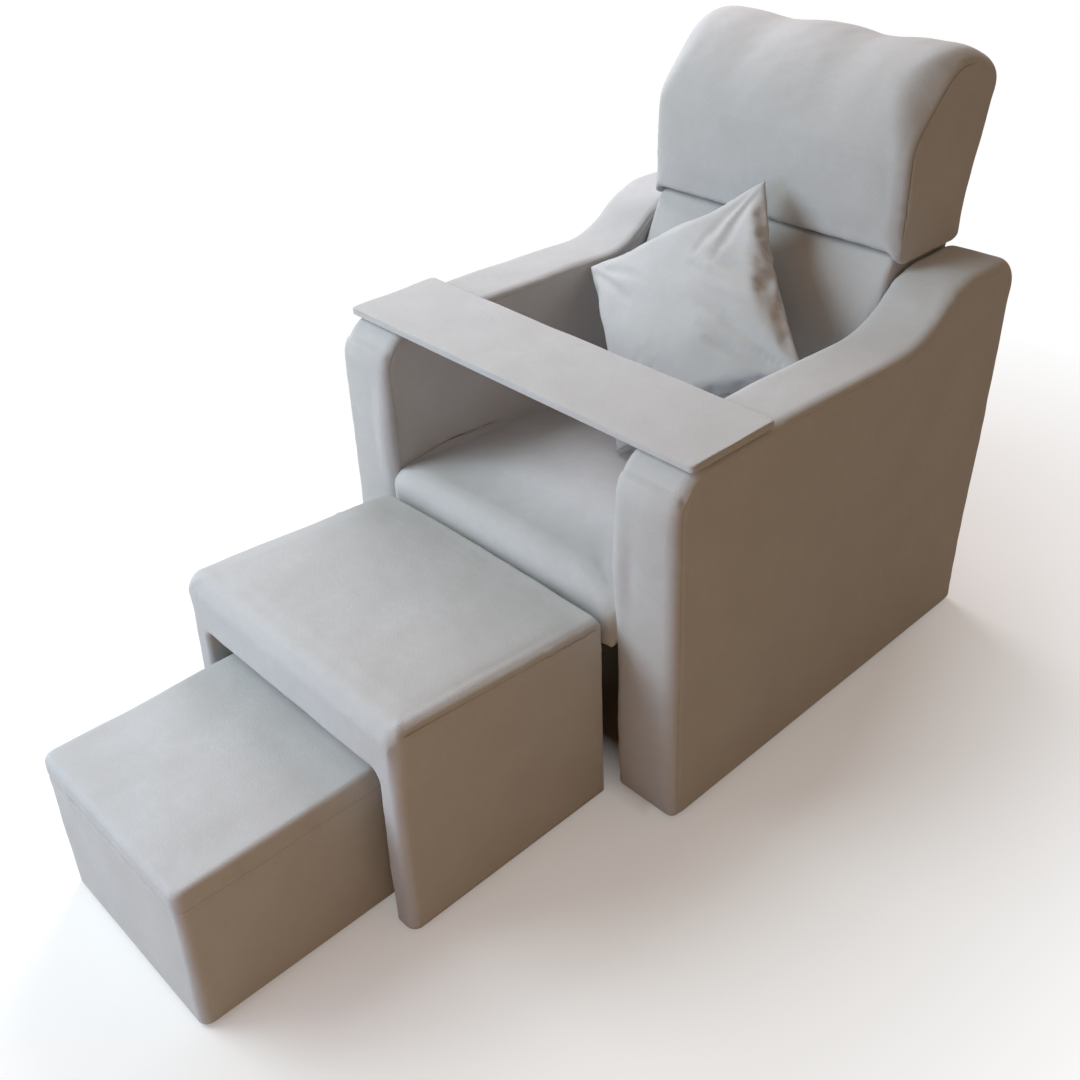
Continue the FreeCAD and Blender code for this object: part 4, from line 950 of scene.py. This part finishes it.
class SPACHAIR_OT_stool(SpaChairOperator):
    """Cover the stool: a soft top over a wrap round its four sides"""
    bl_idname = "spachair.stool"
    bl_label = "Stool"

    def execute(self, context):
        look = self.look
        skin = slab_skin(board((-192, -737), (192, -392), 16, 16), (0, -564.5), (6, 265), (2, 12), step=6.0,
                         axes=PLAN_AXES, band_step=6.0)
        x, y, z = skin.points[..., 0], skin.points[..., 1] - FRONT_Y, skin.points[..., 2]
        skin.seam = np.where(skin.side == 0, z - 0.231, 1.0)
        foot = smooth(z, 0.008, 0.05)
        plan = [np.cos(np.clip(part, -1, 1) * math.pi / 2) for part in (x / 0.192, (y + 0.5645) / 0.1725)]
        swell(skin, smooth(skin.reach, 0.12, 0.3) * (skin.side == 1), 0.002)
        height = 0.003 * plan[0] * plan[1] * (skin.side == 1)
        height += (unevenness(skin, look, 81) + 0.6 * seam_relief(skin, look)) * foot
        skin.lift(np.where(skin.side == -1, 0, height))
        cloth_piece("stool_upholstery", skin, "stool", ("stool_top_pad", "stool_wrap"))
        return {"FINISHED"}


class SPACHAIR_OT_tray(SpaChairOperator):
    """Pull the fabric sleeve over the tray board"""
    bl_idname = "spachair.tray"
    bl_label = "Tray"

    def execute(self, context):
        skin = slab_skin(board((-400, 30), (400, 215), 5, 5), (0, 122.5), (651.3, 664.3), (2.0, 2.5),
                         step=6.0, axes=PLAN_AXES, band_step=2.5)
        skin.lift(0.0004 * ripple(skin.points, 0.09, 91) * (skin.side == 1))
        cloth_piece("tray_sleeve", skin, "tray", ("tray_cover",))
        return {"FINISHED"}


class SPACHAIR_OT_pillow(SpaChairOperator):
    """Make the loose throw pillow: two squares of cloth joined at the rim and filled"""
    bl_idname = "spachair.pillow"
    bl_label = "Pillow"

    size = 392.0
    thickness = 118.0
    draw_in = 20.0
    divisions = 44
    slant = 41

    def execute(self, context):
        bm = bmesh.new()
        bmesh.ops.create_grid(bm, x_segments=self.divisions, y_segments=self.divisions, size=1.0)
        copied = bmesh.ops.duplicate(bm, geom=bm.verts[:] + bm.edges[:] + bm.faces[:])["geom"]
        lower = {item for item in copied if isinstance(item, bmesh.types.BMVert)}
        bmesh.ops.reverse_faces(bm, faces=[item for item in copied if isinstance(item, bmesh.types.BMFace)])
        half = self.size / 2 * MM
        # The squares start almost flat
        drawn, depth = ((0.0, 10.0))
        for vert in bm.verts:
            u, v = vert.co.x, vert.co.y
            x = u * (half - drawn * MM * (1 - v * v) * abs(u) ** 1.5)
            y = v * (half - drawn * MM * (1 - u * u) * abs(v) ** 1.5)
            rise = max((1 - u * u) * (1 - v * v), 0.0) ** 0.5 * depth * MM
            vert.co = (x, y, -rise if vert in lower else rise)
        bmesh.ops.remove_doubles(bm, verts=bm.verts, dist=1e-6)
        bmesh.ops.recalc_face_normals(bm, faces=bm.faces)
        moves = blown_up(bm, 2.0, 0.07, [0.0] * len(bm.verts), 26, 40.0)
        for vert, move in zip(bm.verts[:], moves):
            vert.co += move
        reach = [max(abs(vert.co[axis]) for vert in bm.verts) for axis in (0, 1, 2)]
        wanted = (half, half, self.thickness / 2 * MM)
        bmesh.ops.scale(bm, vec=[want / have for want, have in zip(wanted, reach)], verts=bm.verts)
        bmesh.ops.subdivide_edges(bm, edges=bm.edges[:], cuts=1, use_grid_fill=True, smooth=0.6)
        # Each corner's faces are cut from the corner inwards, so that the two sides share only the rim
        for corner in [vert for vert in bm.verts if len(vert.link_faces) == 2]:
            beside = {edge.other_vert(corner) for edge in corner.link_edges}
            for face in corner.link_faces[:]:
                inner = next(vert for vert in face.verts if vert is not corner and vert not in beside)
                bmesh.ops.connect_verts(bm, verts=[corner, inner])
        self.gather(bm)
        # Turned onto one corner, leaning on the lumbar pad
        place = Matrix.Translation((0.004, 0.478 + FRONT_Y, 0.6171))
        for angle, axis in ((-2.5, "Z"), (53, "X"), (self.slant, "Z")):
            place = place @ Matrix.Rotation(math.radians(angle), 4, axis)
        bmesh.ops.transform(bm, matrix=place, verts=bm.verts)
        finished("pillow", bm, "pillow", ("throw_pillow",))
        return {"FINISHED"}

    def gather(self, bm):
        """Folds that run level from the upper right side into the face, and slight ones elsewhere."""
        places = np.array([vert.co for vert in bm.verts])
        slant = math.radians(self.slant)
        along = places[:, 0] * math.cos(slant) - places[:, 1] * math.sin(slant)
        over = places[:, 0] * math.sin(slant) + places[:, 1] * math.cos(slant)
        folds = ripple(np.stack((over, along * 0.22, places[:, 2] * 0), -1), 0.034, 101)
        near = smooth(places[:, 0], 0.015, 0.12) * (1 - smooth(np.abs(places[:, 1] + 0.01), 0.09, 0.17))
        rest = ripple(places, 0.11, 102)
        height = (0.0021 * folds * near + 0.0012 * rest) * smooth(np.abs(places[:, 2]), 0.004, 0.03)
        bm.normal_update()
        for vert, rise in zip(bm.verts, height):
            vert.co += vert.normal * float(rise)


class SPACHAIR_OT_straps(SpaChairOperator):
    """Make the felt, the webbing straps and the backing cloths inside the frame"""
    bl_idname = "spachair.straps"
    bl_label = "Straps and inner cloths"

    def execute(self, context):
        rails = ["seat_front_rail", "seat_rear_rail", "left_seat_side_rail", "right_seat_side_rail"]
        self.cloth("seat_felt", "spring_felt", "chair_base", "felt", 0.0004, "laid", ["seat_springs"])
        self.cloth("seat_backing", "seat_dust_cover", "chair_base", "backing", 0.0002, "stretched", rails)
        self.cloth("stool_backing", "stool_bottom_sheet", "stool", "backing", 0.0003, "stretched",
                   ["stool_box"])
        self.webbing()
        return {"FINISHED"}

    def cloth(self, name, node, body, finish, unevenness, held, rests_on):
        """A flat cloth in the space of a CAD sheet, slightly uneven."""
        low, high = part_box(node)
        bm = bmesh.new()
        bmesh.ops.create_cube(bm, size=1.0)
        bmesh.ops.scale(bm, vec=high - low, verts=bm.verts)
        bmesh.ops.translate(bm, vec=(high + low) / 2, verts=bm.verts)
        for axis in (0, 1):
            cuts = round((high - low)[axis] / 0.02)
            for step in range(1, cuts):
                spot = Vector(low)
                spot[axis] += (high - low)[axis] * step / cuts
                bmesh.ops.bisect_plane(bm, geom=bm.verts[:] + bm.edges[:] + bm.faces[:], plane_co=spot,
                                       plane_no=(1 - axis, axis, 0))
        for vert in bm.verts:
            vert.co.z -= unevenness * (0.5 + 0.5 * float(ripple(np.array(vert.co), 0.08, 95)) / 2)
        bmesh.ops.recalc_face_normals(bm, faces=bm.faces)
        obj = finished(name, bm, body, (node,), finish)

    def webbing(self):
        """The straps keep their places in the frame, with softened edges."""
        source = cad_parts["back_webbing"]
        bm = bmesh.new()
        bm.from_mesh(source.data)
        bmesh.ops.remove_doubles(bm, verts=bm.verts, dist=1e-6)
        bmesh.ops.bevel(bm, geom=bm.edges[:], offset=0.0005, segments=1, affect="EDGES", profile=0.5,
                        material=-1)
        bmesh.ops.recalc_face_normals(bm, faces=bm.faces)
        finished("webbing_straps", bm, "backrest", ("back_webbing",), "webbing")


class SPACHAIR_OT_stage(SpaChairOperator):
    """Set the floor, the lamps, the room light and the camera"""
    bl_idname = "spachair.stage"
    bl_label = "Stage"

    # The camera's angles in degrees, its place behind the arms' fronts in metres, and its focal length,
    # centre and picture width in pixels
    azimuth, elevation, roll = 46.263, 29.868, -1.588
    place = (1.3978, -1.14766, 1.6006)
    focal, centre_x, centre_y, picture = 1295.535, 576.106, 436.348, 1080.0

    def execute(self, context):
        scene = context.scene
        settings = scene.spa_chair_stage
        a, e, r = (math.radians(v) for v in (self.azimuth, self.elevation, self.roll))
        back = Vector((math.sin(a) * math.cos(e), -math.cos(a) * math.cos(e), math.sin(e)))
        level = Vector((math.cos(a), math.sin(a), 0))
        rise = back.cross(level)
        right = level * math.cos(r) + rise * math.sin(r)
        up = rise * math.cos(r) - level * math.sin(r)
        data = bpy.data.cameras.new("camera")
        data.sensor_width = 36.0
        data.lens = self.focal * data.sensor_width / self.picture
        data.shift_x = (self.picture / 2 - self.centre_x) / self.picture
        data.shift_y = (self.centre_y - self.picture / 2) / self.picture
        data.clip_start, data.clip_end = 0.05, 60.0
        camera = bpy.data.objects.new("camera", data)
        scene.collection.objects.link(camera)
        turn = Matrix((right, up, back)).transposed().to_4x4()
        spot = Vector(self.place) + Vector((0, FRONT_Y, 0))
        camera.matrix_world = Matrix.Translation(spot) @ turn
        scene.camera = camera

        # Place, aim, size, power and colour
        self.lamp("window lamp", (-1.7, -1.9, 2.3), (0, -0.4, 0.3), 2.2, settings.key_power, "#E6F8FF")
        self.lamp("low lamp", (-0.3, -2.6, 0.9), (0.0, -0.2, 0.4), 1.4, settings.low_power, "#C4DAFF")
        self.lamp("side lamp", (1.3, -1.4, 0.7), (0.3, -0.1, 0.35), 0.8, settings.side_power, "#FFC79A")
        self.lamp("rear lamp", (-1.5, 1.2, 2.2), (0.0, 0.3, 0.5), 1.4, settings.rear_power, "#F9F6FF")

        bm = bmesh.new()
        bmesh.ops.create_grid(bm, x_segments=1, y_segments=1, size=14.0)
        mesh = bpy.data.meshes.new("floor")
        bm.to_mesh(mesh)
        bm.free()
        floor = bpy.data.objects.new("floor", mesh)
        scene.collection.objects.link(floor)
        floor.data.materials.append(self.floor_paint())

        world = scene.world or bpy.data.worlds.new("room")
        scene.world = world
        world.use_nodes = True
        tree = world.node_tree
        tree.nodes.clear()
        room = add(tree, "Background", Color=linear("#FFD6AD"), Strength=settings.ambient)
        white = add(tree, "Background", Color=linear("#FFFFFF"), Strength=1.0)
        blend = add(tree, "MixShader", {0: self.seen(tree), 1: room.outputs[0], 2: white.outputs[0]})
        add(tree, "OutputWorld", {"Surface": blend.outputs[0]})
        scene.view_settings.view_transform = "Standard"
        return {"FINISHED"}

    def lamp(self, name, spot, aim, size, power, colour):
        data = bpy.data.lights.new(name, "AREA")
        data.shape = "DISK"
        data.size = size
        data.energy = power
        data.color = linear(colour)[:3]
        lamp = bpy.data.objects.new(name, data)
        bpy.context.scene.collection.objects.link(lamp)
        lamp.location = spot
        lamp.rotation_euler = (Vector(spot) - Vector(aim)).to_track_quat("Z", "Y").to_euler()

    def seen(self, tree):
        """One for the rays that show a surface, and zero for those that gather its light."""
        rays = add(tree, "LightPath").outputs
        seen = rays["Is Camera Ray"]
        for kind in ("Is Glossy Ray", "Is Transmission Ray"):
            seen = add(tree, "Math", {0: seen, 1: rays[kind]}, operation="MAXIMUM").outputs[0]
        return seen

    def floor_paint(self):
        """Matt floor: white to the eye, with the object's soft shadow, painted shade under the chair
        between the arms, and warm in the light it throws.
        """
        tree, shader, place = new_material("Matt white floor")
        seen = self.seen(tree)
        # Between the arms the floor is painted darker, in the warm tone of its bounced light, as painted
        # shade, so that the gaps under the chair stay dark
        gap = scaled(tree, place, (1 / 0.34, 1 / 0.42, 1.0), (0.0, -0.72, 0.0))
        gap = add(tree, "VectorMath", {0: gap}, operation="ABSOLUTE").outputs["Vector"]
        gap = add(tree, "SeparateXYZ", {0: gap}).outputs
        gap = add(tree, "Math", {0: gap[0], 1: gap[1]}, operation="MAXIMUM").outputs[0]
        gap = ranged(tree, gap, 0.82, 1.06)
        # clear is one where the floor is seen outside that painted shade, and zero inside it and for the
        # rays that gather its light
        clear = add(tree, "Math", {0: gap, 1: seen}, operation="MULTIPLY").outputs[0]
        tree.links.new(mixed(tree, clear, "#A89A86", "#F5F5F4"), shader.inputs["Base Color"])
        shader.inputs["Roughness"].default_value = 0.9
        # Away from the chair most of the white is its own; near it the floor takes the shadow
        far = scaled(tree, place, (1 / 0.62, 1 / 1.05, 1.0), (0.0, 0.06, 0.0))
        far = add(tree, "VectorMath", {0: far}, operation="LENGTH").outputs["Value"]
        far = ranged(tree, far, 0.85, 1.9, 0.22, 1.0)
        own = add(tree, "Math", {0: clear, 1: far}, operation="MULTIPLY")
        glow = add(tree, "Emission", Color=linear("#FFFFFF"), Strength=1.0)
        blend = add(tree, "MixShader", {0: own.outputs[0], 1: shader.outputs[0], 2: glow.outputs[0]})
        tree.links.new(blend.outputs[0], tree.nodes["Material Output"].inputs["Surface"])
        return bpy.data.materials["Matt white floor"]


STEPS = (SPACHAIR_OT_materials, SPACHAIR_OT_arms, SPACHAIR_OT_seat, SPACHAIR_OT_back, SPACHAIR_OT_skirt,
         SPACHAIR_OT_ottoman, SPACHAIR_OT_stool, SPACHAIR_OT_tray, SPACHAIR_OT_pillow, SPACHAIR_OT_straps,
         SPACHAIR_OT_stage)


class SPACHAIR_PT_panel(bpy.types.Panel):
    """Lists the chair's settings and the steps that dress it"""
    bl_idname = "SPACHAIR_PT_panel"
    bl_label = "Spa Chair"
    bl_space_type = "VIEW_3D"
    bl_region_type = "UI"
    bl_category = "Spa Chair"

    def draw(self, context):
        layout = self.layout
        for group in (context.scene.spa_chair_look, context.scene.spa_chair_stage):
            column = layout.column(align=True)
            for key in group.__annotations__:
                column.prop(group, key)
        for step in STEPS:
            layout.operator(step.bl_idname)


CLASSES = (SpaChairLook, SpaChairStage) + STEPS + (SPACHAIR_PT_panel,)


def register():
    for item in CLASSES:
        bpy.utils.register_class(item)
    bpy.types.Scene.spa_chair_look = PointerProperty(type=SpaChairLook)
    bpy.types.Scene.spa_chair_stage = PointerProperty(type=SpaChairStage)


def unregister():
    del bpy.types.Scene.spa_chair_stage
    del bpy.types.Scene.spa_chair_look
    for item in reversed(CLASSES):
        bpy.utils.unregister_class(item)


def main():
    register()
    for step in STEPS:
        group, name = step.bl_idname.split(".")
        getattr(getattr(bpy.ops, group), name)()


if __name__ == "__main__":
    main()
